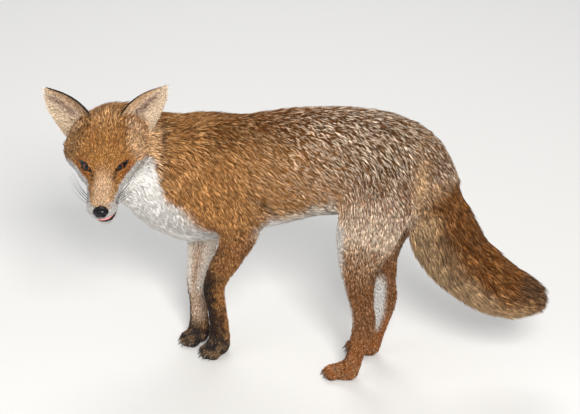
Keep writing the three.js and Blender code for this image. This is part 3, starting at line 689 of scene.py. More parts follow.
ORANGE = colour(188, 131, 72)
DEEP_ORANGE = colour(172, 102, 44)
TAN = colour(207, 163, 118)
PALE_TAN = colour(221, 186, 150)
HEAD_ORANGE = colour(180, 123, 60)
FLANK = colour(182, 130, 72)
SADDLE = colour(132, 84, 38)
LOIN = colour(136, 98, 62)
THIGH = colour(224, 197, 171)
LOW_THIGH = colour(170, 118, 66)
RUST = colour(152, 97, 52)
SHANK = colour(178, 110, 54)
WHITE = colour(242, 239, 234)
CREAM = colour(224, 190, 148)
EAR_CREAM = colour(222, 200, 170)
BUFF = colour(180, 150, 114)
TAIL_TOP = colour(136, 82, 32)
BLACK = colour(40, 35, 34)
DUSKY = colour(136, 104, 96)
DARK = colour(72, 48, 32)
CHESTNUT = colour(100, 58, 32)
STRAW = colour(230, 190, 138)
GRIZZLE = colour(248, 230, 206)
SKIN_TINT = 0.55  # the skin under the coat is darker than the coat

# Height of the white's upper border along the body, x and z in metres.
WHITE_BORDER = (
    (-0.215, 0.335), (-0.203, 0.305), (-0.197, 0.277), (-0.190, 0.258), (-0.163, 0.248), (-0.125, 0.244),
    (-0.100, 0.222), (-0.075, 0.216), (-0.054, 0.236), (-0.012, 0.254), (0.016, 0.268), (0.040, 0.283),
    (0.075, 0.262), (0.12, 0.25), (0.2, 0.24),
)


def whiteness(tone):
    """1 where a colour is that of the white coat, 0 where it is any other."""
    return step(0.4, 0.65, tone[:, 2])


def elbow_fold(p):
    """1 in the fold of the coat that runs round behind the elbow."""
    x, _, z = p.T
    fold = np.interp(z, (0.242, 0.256, 0.266, 0.274), (-0.043, -0.045, -0.053, -0.07))
    return spot((x, fold, 0.0055)) * step(0.236, 0.25, z) * step(0.286, 0.274, z)


def seat_share(p, n):
    """1 on the pale band that runs down behind the thigh, under the tail."""
    x, _, z = p.T
    stripe = np.exp(-(((x - 0.167) / 0.011) ** 2 + ((z - 0.312) / 0.045) ** 4))
    return stripe * step(0.1, -0.3, n[:, 1])


def body_colour(p, n):
    """Trunk and thighs above the white: orange in front, grey-brown behind, darkest on the back."""
    x, _, z = p.T
    side = step(0.8, 0.3, n[:, 2])
    c = blend(SADDLE, blend(FLANK, ORANGE, step(-0.02, -0.12, x)), side)
    c = blend(c, blend(LOIN, THIGH, step(0.345, 0.24, z) * side), step(-0.02, 0.1, x))
    groin = spot((x, 0.045, 0.03), (z, 0.285, 0.03))
    # Painted shadow: a darker rust-orange line in the crease in front of the pale band behind the thigh.
    crease_shadow = spot((x, 0.149, 0.006), (z, 0.295, 0.035)) * step(0.1, -0.3, n[:, 1])
    c = blend(blend(c, FLANK, 0.7 * groin), RUST, 0.5 * crease_shadow)
    c = blend(c, blend(CREAM, ORANGE, 0.35), 0.95 * seat_share(p, n))
    # Painted shade in the fold behind the elbow, over the fold that is drawn into the skin there.
    return blend(c, DARK, 0.75 * elbow_fold(p))


def white_border(p):
    """Where the white of the body ends above a point, with a ragged edge."""
    return along_curve(p[:, 0], WHITE_BORDER) + 0.005 * ripple(p, 0.02)


def trunk_markings(p, n):
    x, _, z = p.T
    white = step(0.009, -0.009, z - white_border(p))
    white = np.maximum(white, step(-0.6, -0.85, n[:, 2]) * step(0.0, 0.02, x + 0.22))
    under = blend(WHITE, CREAM, 0.45 * step(-0.07, -0.03, x) * step(-0.9, -0.3, n[:, 2]))
    # Painted shade: the white under the belly and further back is made darker.
    under = under * (1 - 0.35 * step(-0.09, -0.02, x))[:, None]
    return blend(body_colour(p, n), under, white)


def neck_markings(p, n):
    x, y, z = in_head(p).T
    aside = np.abs(y)
    left = step(0.01, -0.01, p[:, 1] - 0.035)
    white = step(0.01, -0.01, p[:, 2] - (white_border(p) - 0.03 * (1 - left)))
    white = np.maximum(white, step(-0.35, -0.7, n[:, 2]))
    ruff = step(-75, -52, x) * step(40, 50, aside) * step(73, 66, aside) * step(28, 12, z)
    # Painted shadow: a dark streak between the head and the ruff, where the neck lies in shade.
    shadow_behind_ruff = step(-90, -66, x) * step(-28, -42, x) * step(30, 14, z) * spot((aside, 72, 5))
    c = blend(ORANGE, SADDLE, 0.5 * step(0.3, 0.9, n[:, 2]))
    c = blend(blend(c, TAN, 0.9 * ruff), DARK, 0.6 * shadow_behind_ruff)
    return blend(c, WHITE, white * (1 - ruff * step(-22, -14, z)))


# The white of the cheek starts below this height (x, z in mm in the head's frame).
CHEEK_BORDER = (
    (-60, -22), (-39, -15), (-28, -9.5), (-12, -2), (-2, -5.5), (9, -10.5), (20, -14.5), (40, -15.5),
    (62, -18.5), (72, -24), (90, -30),
)


def ear_base(points):
    """1 on the head just in front of the ears, where their hollows run into it."""
    x, y, z = in_head(points).T
    return step(1.35, 0.6, np.hypot((x + 46) / 14, (np.abs(y) - 41) / 14)) * step(14, 24, z)


def head_markings(p, n):
    x, y, z = in_head(p).T
    y = y - SNOUT_SHIFT[1] * turn_share(x)
    aside = np.abs(y)
    # The pale temple is only about a third as pale on the fox's right side: painted shade where that side
    # of the head is turned from the light.
    temple = step(4, -14, x) * step(22, 36, aside) * (0.35 + 0.65 * step(-10, 10, y))
    c = blend(HEAD_ORANGE, blend(TAN, PALE_TAN, 0.45), temple)
    c = blend(c, TAN, 0.35 * step(-20, -45, x) * step(30, 10, aside))
    c = blend(c, PALE_TAN, 0.8 * ear_base(p))
    # Painted shade on the fox's right side of the head, beside the eye.
    shaded = step(-22, -36, y) * spot((x, -4, 22))
    c = c * (1 - 0.3 * shaded[:, None])
    c = blend(c, PALE_TAN, 0.95 * step(16, 44, x) * step(15, 8, aside))
    c = blend(c, TAN, 0.7 * step(26, 50, x) * step(8, 14, aside))
    eye = away((x, 8, 20), (aside, 26, 14), (z, -2, 14))
    c = blend(c, DEEP_ORANGE, 0.85 * step(1.35, 0.6, eye))
    brow = away((x, -6, 9), (aside, 13, 7))
    c = blend(c, DEEP_ORANGE, 0.35 * step(1.5, 0.5, brow))
    tear = away((x, 29, 12), (aside, 14.0 - 0.05 * (x - 27), 2.4), (z, -1, 7))
    c = blend(c, DARK, 0.8 * step(1.2, 0.3, tear))
    muzzle = step(24, 40, x) * step(8, 13, aside) * step(-26, -14, z)
    c = blend(c, DARK * 1.6, 0.4 * muzzle * step(0.0, 0.6, ripple(p, 0.012, 1)))
    border = along_curve(x, CHEEK_BORDER) + 1.5 * ripple(p, 0.014) - 0.8 * np.clip(aside - 57, 0, 20)
    white = step(2.5, -2.5, z - border) * step(7, 11, aside + 8 * step(60, 72, x))
    c = blend(c, WHITE * 0.68, np.maximum(white, step(-24, -30, z)))
    pad = away((x, 52, 14), (aside, 20, 7), (z, -24, 6))
    return blend(c, DARK, 0.55 * step(0.1, 0.7, ripple(p, 0.006, 2)) * step(1.2, 0.5, pad))


def foreleg_markings(p, n, outer):
    """Black down the front and round the foot of the leg, pale on the inner side."""
    low, front = p[:, 2], -n[:, 0]
    c = blend(body_colour(p, n), RUST * 1.15, 0.6 * step(0.25, 0.2, low))
    ahead = spot((p[:, 0], -0.094, 0.013), (low, 0.240, 0.022)) * step(-0.2, -0.6, outer)
    c = blend(c, DARK, 0.5 * ahead * (0.6 + 0.4 * step(-0.3, 0.4, ripple(p, 0.008, 4))))
    speck = 0.35 * ripple(p, 0.012, 3)
    edge = front + 0.25 * outer + speck
    c = blend(c, DARK, 0.6 * step(0.22, 0.17, low) * step(0.45, 0.9, edge))
    black = step(0.16, 0.12, low + 0.02 * speck) * step(-0.2, 0.35, edge)
    black = np.maximum(black, step(0.095, 0.06, low) * step(-1.0, -0.3, edge) * 0.85)
    inner = step(0.15, -0.45, outer) * step(0.025, 0.05, low)
    inner = inner * (1 - 0.9 * step(0.35, 0.8, front) * step(0.11, 0.07, low))
    streak = np.maximum(spot((front, 0, 0.3)) * step(0.2, 0.14, low), step(0.1, 0.07, low))
    pale = blend(blend(CREAM, WHITE, 0.75), TAN * 0.85, 0.6 * streak)
    return blend(blend(c, BLACK, 0.92 * black), pale, 0.95 * inner)


def hindleg_markings(p, n, outer, line):
    """Rust below the thigh, dark behind the hock, white on the inner side and up the front."""
    low, front = p[:, 2], -n[:, 0]
    c = blend(body_colour(p, n), LOW_THIGH, 0.85 * step(0.25, 0.2, low))
    c = blend(c, RUST, 0.9 * step(0.2, 0.15, low))
    c = blend(c, SHANK, 0.8 * step(0.09, 0.06, low))
    speck = step(0.3, 0.9, ripple(p, 0.015, 3)) * step(0.2, 0.12, low) * step(0.06, 0.1, low)
    hock = step(0.03, 0.0, np.abs(low - 0.185)) * step(0.3, 0.8, -front)
    c = blend(c, DARK, 0.55 * hock + 0.2 * speck)
    c = blend(c, DARK, 0.7 * step(0.085, 0.05, low) * step(0.3, 0.9, front))
    ahead = np.interp(on_spine(line, p)[0], np.linspace(0, 1, len(line)), line[:, 0]) - p[:, 0]
    inner = step(0.0, -0.5, outer) * step(0.04, 0.06, low) * step(0.15, 0.125, low)
    inner = inner * step(-0.009, 0.0, ahead)
    edge = step(0.45, 0.75, front) * step(0.08, 0.12, low) * step(0.22, 0.2, low) * 0.8
    wide = step(0.25, 0.6, front) * step(0.18, 0.2, low) * step(0.265, 0.245, low) * 0.9
    return blend(c, WHITE * 0.8, np.maximum(inner, np.maximum(edge, wide)))


def leg_markings(p, n, name):
    outer = n[:, 1] * (1 if name.endswith("right") else -1)
    if name.startswith("fore"):
        return foreleg_markings(p, n, outer)
    return hindleg_markings(p, n, outer, LIMBS[name])


def paw_markings(p, name):
    c = BLACK * 1.9 if name.startswith("fore") else SHANK * 0.95
    c = blend(c, TAN * 0.6, 0.5 * step(-0.1, 0.6, ripple(p, 0.02, 4)))
    return blend(c, BLACK, step(0.006, 0.001, p[:, 2]))


def tail_markings(p, n):
    share = on_spine(LIMBS["tail"], p)[0]
    above = n[:, 0] * 0.75 + n[:, 2] * 0.65
    c = blend(BUFF, TAIL_TOP, step(-0.25, 0.35, above + 0.12 * ripple(p, 0.05, 2)))
    streak = step(0.1, 0.7, ripple(p, 0.03, 5)) * spot((above, 0, 0.5))
    c = blend(c, DARK * 1.5, 0.45 * streak * step(0.08, 0.2, share) * step(0.9, 0.6, share))
    c = blend(c, THIGH * 0.85, 0.75 * step(0.2, 0.06, share))
    c = blend(c, CREAM * 0.85, 0.6 * step(0.22, 0.08, share) * step(0.75, 0.45, n[:, 0]))
    c = blend(c, BUFF, 0.3 * step(0.85, 1.0, share))
    return blend(c, DARK, 0.6 * step(0.86, 0.97, share) * step(0.2, 0.8, above))


# Half the width of an ear in mm against the height up it.
EAR_HALF_WIDTH = ((0, 24), (0.25, 26.5), (0.4, 27), (0.55, 26), (0.7, 22.5), (0.85, 15.5), (1, 5))


def ear_markings(p, n, side):
    height, over, _ = in_ear(p, side)
    over = over * SIDES[side]
    half = along_curve(height, EAR_HALF_WIDTH)
    outside = blend(BLACK, ORANGE, step(0.3, 0.1, height))
    hollow = blend(EAR_CREAM, TAN * 0.92, 0.85 * step(-1, -11, over))
    centre = spot((over, 1.0, 6.0 * (1.25 - height))) * step(0.08, 0.25, height)
    hollow = blend(hollow, DUSKY, 0.85 * centre * step(0.95, 0.6, height))
    hollow = blend(hollow, TAN, 0.6 * step(0.12, -0.05, height))
    fringe = step(7.5, 3.5, half + over) * step(0.95, 0.7, height)
    hollow = blend(hollow, ORANGE, 0.6 * fringe)
    rim = step(3.4, 2.2, half + over) * step(0.05, 0.25, height)
    rim = np.maximum(rim, step(2.0, 1.0, half - np.abs(over)) * step(0.7, 0.9, height))
    return blend(blend(outside, hollow, step(-0.05, 0.15, ear_facing(p, n, side))), BLACK * 0.7, rim)


def part_colour(points, normals, name):
    """The colour of one part's coat at each point."""
    if name.startswith("ear"):
        return ear_markings(points, normals, name.split("_")[1])
    if "leg" in name:
        return leg_markings(points, normals, name)
    if "paw" in name:
        return paw_markings(points, name)
    rules = {"trunk": trunk_markings, "neck": neck_markings, "tail": tail_markings}
    return rules.get(name, head_markings)(points, normals)


class Coat:
    """What the coat is like at each point of the skin. Each part has its own rules, and near the border of
    two parts their values run into each other."""

    def __init__(self, skin):
        self.points, self.normals = points_of(skin.data), normals_of(skin.data)
        edges = edges_of(skin.data)
        self.part = nearest_part(self.points)
        is_ear = is_part(self.part, "ear")
        self.weights = relaxed(np.eye(len(PARTS))[self.part], edges, 70, np.where(is_ear, 0.12, 0.5))
        way = self.mixed(lambda p, n, name: unit(part_ways(p, n, name)), 3)
        way = relaxed(way, edges, 14, np.where(is_ear, 0.1, 0.5))
        self.way = unit(way - self.normals * dot(way, self.normals)[:, None])
        self.colour = self.mixed(part_colour, 3)
        self.grey = self.mixed(lambda p, n, name: part_grizzle(p, n, name)[:, None], 1)
        self.sizes = self.mixed(lambda p, n, name: part_tufts(p, name), 3)
        self.depth = relaxed(coat_depth(self.points, self.part)[:, None], edges, 14)
        self.thicken_white()
        for side in SIDES:
            self.line_ear(side)

    def thicken_white(self):
        """More and wider tufts where the body is white, and longer ones under it."""
        white = whiteness(self.colour) * ~is_part(self.part, "head", "lower_jaw", "ear")
        self.sizes[:, 0] *= 1 + 0.25 * white * step(0.0, -0.6, self.normals[:, 2])
        self.sizes[:, 1] *= 1 + 0.1 * white
        self.sizes[:, 2] *= 1 + 0.8 * white

    def line_ear(self, side):
        """Long tufts in the hollow of an ear, but short and flat ones along its edges and on its back."""
        on = self.part == part_index["ear_" + side]
        inside = ear_inside(self.points[on], self.normals[on], side)
        height, over, _ = in_ear(self.points[on], side)
        edge = np.abs(over) / (0.78 * along_curve(height, EAR_HALF_WIDTH))
        self.sizes[on, 0] = 3.0 + inside * (7.0 - 3.5 * height) * step(1.05, 0.6, edge)
        self.depth[on, 0] = (0.35 + 0.9 * inside * step(1.0, 0.5, edge)) * MM

    def mixed(self, rule, width):
        """The rule's value for every part, mixed by how near each part is."""
        total = np.zeros((len(self.points), width))
        for name, k in part_index.items():
            on = self.weights[:, k] > 0.004
            if on.any():
                value = rule(self.points[on], self.normals[on], name)
                total[on] += self.weights[on, k][:, None] * value
        return total / np.maximum(self.weights.sum(axis=1, keepdims=True), 1e-9)


def part_grizzle(points, normals, name):
    """How pale the pale tips of one part are: most on the loin, rump and thigh."""
    if name in ("trunk", "neck") or name.startswith("hindleg"):
        x, z = points[:, 0], points[:, 2]
        thigh = step(0.04, 0.09, x) * step(0.185, 0.25, z)
        behind = step(-0.1, 0.06, x) * np.maximum(step(0.27, 0.35, z), thigh)
        return (0.2 + 0.35 * step(0.15, 0.22, z) + 0.4 * behind) * (1 - 0.85 * seat_share(points, normals))
    if name == "head":
        return 0.3 + 0.3 * step(-10, -45, in_head(points)[:, 0]) * (1 - ear_base(points))
    if name.startswith("ear"):
        return 0.1 + 0.4 * ear_inside(points, normals, name.split("_")[1])
    if name == "tail":
        return 0.25 + 0.5 * step(0.22, 0.06, on_spine(LIMBS["tail"], points)[0])
    return np.full(len(points), 0.35 if name.startswith("foreleg") else 0.25)


def part_tufts(points, name):
    """Length and width of one part's tufts in mm, and their density per cm2."""
    z = points[:, 2]
    if name == "trunk":
        rows = (along_curve(points[:, 0], [(-0.1, 14), (0.05, 12), (0.13, 12), (0.16, 9)]), 0.98, 58.0)
    elif name == "neck":
        rows = (14.5, 1.02, 56.0)
    elif name == "tail":
        share = on_spine(LIMBS["tail"], points)[0]
        rows = (along_curve(share, [(0, 12), (0.15, 14), (0.35, 19), (0.85, 19), (1, 15)]), 1.05, 60.0)
    elif "paw" in name:
        rows = (4.2, 0.9, 80.0)
    elif name.startswith("ear"):
        rows = (4.0, 0.55, 190.0)
    elif "leg" in name:
        rows = (
            along_curve(z, [(0.03, 5), (0.12, 6.5), (0.2, 9), (0.3, 12)]),
            along_curve(z, [(0.03, 0.85), (0.2, 1.0), (0.3, 1.05)]),
            along_curve(z, [(0.03, 80), (0.2, 64), (0.3, 56)]),
        )
    else:
        x = in_head(points)[:, 0]
        length = along_curve(x, [(-60, 15), (-35, 11), (-15, 8), (5, 5), (25, 3.6), (75, 2.4)])
        rows = (
            length * (1 - 0.4 * ear_base(points)),
            along_curve(x, [(-60, 1.2), (-20, 1.0), (10, 0.8), (75, 0.66)]),
            along_curve(x, [(-60, 66), (-20, 105), (10, 165), (40, 210), (75, 300)]),
        )
    return np.stack([np.broadcast_to(r, len(points)) for r in rows], axis=1)


# ------------------------------------------------------------------ the coat
def bare(points):
    """True where no tuft grows: on the nose, in the mouth and on the lids."""
    h = in_head(points)
    off = np.linalg.norm((h - np.array(NOSE_AT)) / (np.array(NOSE_RADII) + 0.4), axis=1) < 1
    off |= in_mouth(h, LIP_LINE[0][0], 0.8, 0.6)
    for side in SIDES:
        mid, along, high, out, half = lid_frame(side)
        offset = points - mid
        u, v = np.abs(offset @ along), np.abs(offset @ high)
        opening = LIDS[side]["high"] * MM * (1 - np.clip(u / half, 0, 1) ** 1.9)
        off |= (u < half + 1.5 * MM) & (v < opening + 1.3 * MM) & (np.abs(offset @ out) < 0.02)
    return off


def grow_roots(skin, coat):
    """Random places on the skin, with all that the tufts need to know there."""
    skin.data.calc_loop_triangles()
    corners = rows_of(skin.data.loop_triangles, "vertices", 3, np.int32)
    a, b, c = (coat.points[corners[:, k]] for k in range(3))
    area = np.linalg.norm(np.cross(b - a, c - a), axis=1) / 2
    weight = area * coat.sizes[corners, 2].mean(axis=1)
    order = np.cumsum(weight / weight.sum())
    spots = (np.arange(TUFTS) + rng.uniform(size=TUFTS)) / TUFTS
    face = np.minimum(np.searchsorted(order, spots), len(order) - 1)
    u, v = rng.uniform(size=(2, TUFTS))
    fold = u + v > 1
    u[fold], v[fold] = 1 - u[fold], 1 - v[fold]
    shares = np.stack([1 - u - v, u, v], axis=1)[:, :, None]
    chosen = corners[face]
    root = (coat.points[chosen] * shares).sum(axis=1)
    keep = ~bare(root)
    chosen, shares = chosen[keep], shares[keep]
    nearest = chosen[np.arange(len(chosen)), shares[:, :, 0].argmax(axis=1)]
    at = {"root": root[keep], "part": coat.part[nearest]}
    for key, values in (
        ("normal", coat.normals), ("lie", coat.way), ("colour", coat.colour),
        ("grey", coat.grey), ("size", coat.sizes), ("depth", coat.depth),
    ):
        at[key] = (values[chosen] * shares).sum(axis=1)
    at["normal"], at["lie"] = unit(at["normal"]), unit(at["lie"])
    at["grey"], at["depth"] = at["grey"][:, 0], at["depth"][:, 0]
    return at


def in_locks(at):
    """For each tuft, the middle tuft of its lock, and how firmly it is drawn to it."""
    count = len(at["root"])
    heads = rng.permutation(count)[: count // TUFTS_PER_LOCK]
    tree = KDTree(len(heads))
    for k, place in enumerate(at["root"][heads]):
        tree.insert(place, k)
    tree.balance()
    lock = heads[[tree.find(place)[1] for place in at["root"]]]
    alike = dot(at["normal"], at["normal"][lock])
    same = np.where(at["part"] == at["part"][lock], 1, 0.5)
    return lock, LOCK_PULL * step(0.3, 0.8, alike) * same * (1 - 0.6 * whiteness(at["colour"]))


def tuft_points(at, lock, firm):
    """The five points of each tuft: its root, three round its middle, and its tip."""
    count = len(at["root"])
    root, normal = at["root"], at["normal"]
    length, width = at["size"][:, 0] * MM, at["size"][:, 1] * MM

    swing = 0.13 * rng.normal(size=count)[lock] + 0.16 * ripple(root, 0.02, 1)
    swing = swing + 0.08 * rng.normal(size=count)
    across = np.cross(normal, at["lie"])
    lie = unit(at["lie"] * np.cos(swing)[:, None] + across * np.sin(swing)[:, None])
    across = np.cross(normal, lie)
    spread = np.clip(rng.normal(size=count), -2, 2)
    length = length * (1 + 0.16 * spread[lock] + 0.1 * rng.normal(size=count)).clip(0.4, 1.6)
    width = width * rng.uniform(0.7, 1.25, count)
    uneven = 0.22 * (1 - 0.8 * whiteness(at["colour"]))
    lift = at["depth"] * (0.85 + uneven * spread[lock] + 0.12 * rng.normal(size=count)).clip(0.3, 1.15)
    toward = root[lock] - root
    aside = dot(toward, across) * firm
    ahead = dot(toward, lie) * firm * 0.6
    bend = rng.normal(size=count) * 0.05 * length
    middle_at = root + lie * (0.42 * length + 0.2 * ahead)[:, None]
    middle_at = middle_at + across * (0.35 * aside + 0.25 * bend)[:, None] + normal * (0.66 * lift)[:, None]
    half = across * (width / 2)[:, None]
    start = root - normal * (0.4 * MM)
    tip = root + lie * (length + ahead)[:, None] + across * (aside + bend)[:, None] + normal * lift[:, None]
    ridge = middle_at + normal * (0.4 * width)[:, None]
    return np.stack([start, middle_at - half, ridge, middle_at + half, tip], axis=1)


def tuft_colours(at, lock):
    """Colours of the five points. Some tufts end in a pale tip and the rest are darker than the marking,
    in such shares that the mean keeps the marking's brightness."""
    count = len(at["root"])
    mean, grey = at["colour"], at["grey"][:, None]
    behind = step(-0.12, 0.03, at["root"][:, 0]) * ~is_part(at["part"], "tail")
    light = mean.mean(axis=1, keepdims=True)
    white = whiteness(mean)[:, None]
    black = step(0.07, 0.035, light)
    grizzled = grey * (1 - white)
    ears = is_part(at["part"], "ear")
    tone = blend(STRAW, GRIZZLE, np.maximum(behind, ears)) * (1 - 0.7 * black)
    pale = mean * (1.45 - 0.4 * white + 0.9 * black) * (1 - grizzled)
    pale = pale + np.maximum(tone, mean * 1.1) * grizzled
    chestnut = CHESTNUT * np.clip(light / 0.2, 0.5, 1.8)
    chestnut = blend(chestnut, mean * 0.7, black[:, 0])
    deep = mean * (0.46 + 0.44 * white) * (1 - 0.8 * grizzled) + chestnut * 0.8 * grizzled
    deep = deep + (mean * 0.92 - deep) * rng.uniform(size=(count, 1)) ** 1.3
    pale_light, deep_light = pale.mean(axis=1, keepdims=True), deep.mean(axis=1, keepdims=True)
    seen = np.clip((light - deep_light) / (pale_light - deep_light), 0.12, 0.7)
    shade = 0.12 * rng.normal(size=count)[lock] + 0.28 * rng.normal(size=count)
    calm = 1 - 0.4 * is_part(at["part"], "foreleg", "hindleg") * step(0.25, 0.17, at["root"][:, 2])
    calm = np.where(ears, 0.6, calm)[:, None]
    shade = np.exp(shade[:, None] * (1 - 0.75 * white) * calm)
    pale, deep = pale * shade, deep * shade
    tipped = rng.uniform(size=(count, 1)) < np.maximum(seen, 0.3 * grizzled) * PALE_TUFTS
    # Painted shade and highlight on each tuft: its two sides darker and its ridge lighter, so that each
    # strand reads even where it is evenly lit.
    side = np.where(tipped, 0.85 * deep + 0.15 * pale, deep * (0.78 + 0.16 * white))
    ridge = np.where(tipped, 0.22 * deep + 0.78 * pale, deep)
    tip = np.where(tipped, pale, deep * 1.1)
    root_tone = deep * (0.4 + 0.45 * white)
    return np.stack([root_tone, side, ridge, side, tip], axis=1)


def part_line(name):
    """The line about which the coat of one part is unwrapped."""
    if name in LIMBS:
        return LIMBS[name]
    if name.startswith("ear"):
        return np.array(ear_axes(name.split("_")[1])[:2])
    if name in ("head", "lower_jaw"):
        return np.array([head_point((-70, 0, 0)), head_point((80, 0, -22))])
    low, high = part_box(name)
    centre = (low + high) / 2
    return np.array([(centre.x, centre.y, high.z), (centre.x, centre.y, low.z)])


def unwrap(root, line, tile, tiles):
    """Places on an unwrap of the skin: turn about the part's line, and share of its length."""
    axis = unit(line[-1] - line[0])
    side = unit(np.cross(axis, [0.31, 0.2, 0.93]))
    share, _ = on_spine(line, root)
    t = np.linspace(0, 1, len(line))
    offset = root - np.stack([np.interp(share, t, line[:, i]) for i in range(3)], axis=1)
    reach = (root - line[0]) @ axis / np.linalg.norm(line[-1] - line[0])
    v = np.clip(0.5 + (reach - 0.5) * 0.8, 0.005, 0.995)
    u = 0.5 + np.arctan2(offset @ np.cross(axis, side), offset @ side) / (2 * math.pi)
    margin = 0.01
    return np.stack([(tile + margin + u * (1 - 2 * margin)) / tiles, margin + (1 - 2 * margin) * v], axis=1)


PATCH = np.array([(0, -0.5), (-0.5, 0), (0, 0.05), (0.5, 0), (0, 0.5)]) * UV_PATCH
LOWEST = np.array([0.0, 0.2, 0.5, 0.2, 0.0]) * MM  # of a tuft's points: no fur goes through the floor
TUFT_FACES = np.array([(0, 2, 1), (0, 3, 2), (0, 1, 3), (1, 2, 4), (2, 3, 4), (3, 1, 4)])
COAT_PIECES = {
    "coat_head": ["head", "lower_jaw"],
    "coat_ears": EARS,
    "coat_neck": ["neck"],
    "coat_trunk": ["trunk"],
    "coat_tail": ["tail"],
    "coat_forelegs": ["foreleg_left", "foreleg_right"],
    "coat_hindlegs": ["hindleg_left", "hindleg_right"],
    "coat_paws": ["forepaw_left", "forepaw_right", "hindpaw_left", "hindpaw_right"],
}


def make_coat(skin, coat):
    """The tufts in pieces of whole parts, and those of a part in batches where they are too many."""
    at = grow_roots(skin, coat)
    lock, firm = in_locks(at)
    points, colours = tuft_points(at, lock, firm), tuft_colours(at, lock)
    points[:, :, 2] = np.maximum(points[:, :, 2], LOWEST)
    pieces = []
    for name, parts in COAT_PIECES.items():
        mine = np.flatnonzero(np.isin(at["part"], [part_index[p] for p in parts]))
        batches = max(1, math.ceil(len(mine) / PIECE_TUFTS))
        mine = mine[np.argsort(at["root"][mine, 0], kind="stable")]
        for number, batch in enumerate(np.array_split(mine, batches)):
            label = name if batches == 1 else f"{name}_{number + 1}"
            faces = (np.arange(len(batch))[:, None, None] * 5 + TUFT_FACES).reshape(-1, 3)
            ob = make_mesh(label, points[batch].reshape(-1, 3), [faces])
            paint(ob, "Fur", colours[batch].reshape(-1, 3))
            place = np.zeros((len(batch), 2))
            for tile, part in enumerate(parts):
                on = at["part"][batch] == part_index[part]
                place[on] = unwrap(at["root"][batch][on], part_line(part), tile, len(parts))
            spots = (place[:, None] + PATCH[None]).reshape(-1, 2)
            corners = rows_of(ob.data.loops, "vertex_index", 1, np.int32)[:, 0]
            layer = ob.data.uv_layers.new(name="OFBake")
            layer.data.foreach_set("uv", spots[corners].astype(np.float32).ravel())
            pieces.append(ob)
    return pieces


# ------------------------------------------------------------------ materials
class Nodes:
    """A new material's node tree, with its shader."""

    def __init__(self, name, roughness=0.5, **sockets):
        self.material = bpy.data.materials.new(name)
        self.material.use_nodes = True
        self.tree = self.material.node_tree
        self.shader = self.tree.nodes["Principled BSDF"]
        self.shader.inputs["Roughness"].default_value = roughness
        for socket, value in sockets.items():
            self.shader.inputs[socket.replace("_", " ")].default_value = value

    def add(self, kind, inputs=(), **settings):
        node = self.tree.nodes.new(kind)
        for key, value in settings.items():
            setattr(node, key, value)
        for key, value in dict(inputs).items():
            if isinstance(value, bpy.types.NodeSocket):
                self.tree.links.new(value, node.inputs[key])
            else:
                node.inputs[key].default_value = value
        return node

    def coloured(self, socket):
        """The material, with its base colour from a socket."""
        self.tree.links.new(socket, self.shader.inputs["Base Color"])
        return self.material

    def noise(self, scale, detail=4.0, stretch=(1, 1, 1)):
        place = self.add("ShaderNodeTexCoord").outputs["Object"]
        if stretch != (1, 1, 1):
            place = self.add("ShaderNodeMapping", {"Vector": place, "Scale": stretch}).outputs["Vector"]
        inputs = {"Vector": place, "Scale": scale, "Detail": detail}
        return self.add("ShaderNodeTexNoise", inputs).outputs["Fac"]

    def bump(self, height, strength, distance):
        node = self.add("ShaderNodeBump", {"Height": height, "Strength": strength, "Distance": distance})
        self.tree.links.new(node.outputs["Normal"], self.shader.inputs["Normal"])

    def attribute(self, name):
        return self.add("ShaderNodeVertexColor", layer_name=name).outputs["Color"]

    def varied(self, colour_socket, height, low, high):
        """The colour, made darker and lighter between low and high by height."""
        share = self.add("ShaderNodeMapRange", {"Value": height, "To Min": low, "To Max": high})
        inputs = {0: colour_socket, 1: share.outputs["Result"]}
        return self.add("ShaderNodeVectorMath", inputs, operation="MULTIPLY").outputs["Vector"]

    def ramp(self, share, dark, light):
        """A colour from dark to light by share."""
        node = self.add("ShaderNodeValToRGB", {"Fac": share})
        for element, tone in zip(node.color_ramp.elements, (dark, light)):
            element.color = (*tone, 1)
        return node.outputs["Color"]


def fur_material():
    m = Nodes("fur", roughness=0.5, Specular_IOR_Level=0.16)
    return m.coloured(m.varied(m.attribute("Fur"), m.noise(900.0, 2.0), 0.82, 1.18))


def skin_material():
    m = Nodes("skin", roughness=0.75, Specular_IOR_Level=0.2)
    hairs = m.noise(1400.0, 3.0)
    m.bump(hairs, 0.6, 0.0006)
    return m.coloured(m.varied(m.attribute("Fur"), hairs, 0.7, 1.25))


def nose_material():
    m = Nodes("nose_leather", roughness=0.45, Specular_IOR_Level=0.06, Coat_Weight=0.4, Coat_Roughness=0.14)
    place = m.add("ShaderNodeTexCoord").outputs["Object"]
    cells = m.add("ShaderNodeTexVoronoi", {"Vector": place, "Scale": 1100.0}).outputs["Distance"]
    m.bump(cells, 0.35, 0.0003)
    base = m.add("ShaderNodeRGB").outputs[0]
    base.default_value = (0.004, 0.0036, 0.0036, 1)
    return m.coloured(m.varied(base, cells, 0.6, 1.5))


def eye_material():
    m = Nodes("eye", roughness=0.2, Specular_IOR_Level=0.12, Coat_Weight=0.5, Coat_Roughness=0.02)
    return m.coloured(m.varied(m.attribute("Iris"), m.noise(1500.0, 3.0), 0.5, 0.95))


def rim_material():
    m = Nodes("lid_rim", roughness=0.35, Specular_IOR_Level=0.5)
    return m.coloured(m.varied(m.attribute("Rim"), m.noise(1500.0), 0.8, 1.2))


def tongue_material():
    m = Nodes("tongue", 0.35, Specular_IOR_Level=0.5, Subsurface_Weight=0.2, Subsurface_Scale=0.002)
    bumps = m.noise(2500.0, 2.0)
    m.bump(bumps, 0.5, 0.0003)
    return m.coloured(m.ramp(bumps, (0.42, 0.13, 0.13), (0.75, 0.33, 0.32)))


def horn_material():
    m = Nodes("claw_horn", roughness=0.4, Specular_IOR_Level=0.45)
    m.bump(m.noise(1800.0), 0.3, 0.0002)
    return m.coloured(m.ramp(m.noise(300.0, 4.0, (1, 1, 0.25)), (0.03, 0.022, 0.018), (0.16, 0.12, 0.09)))


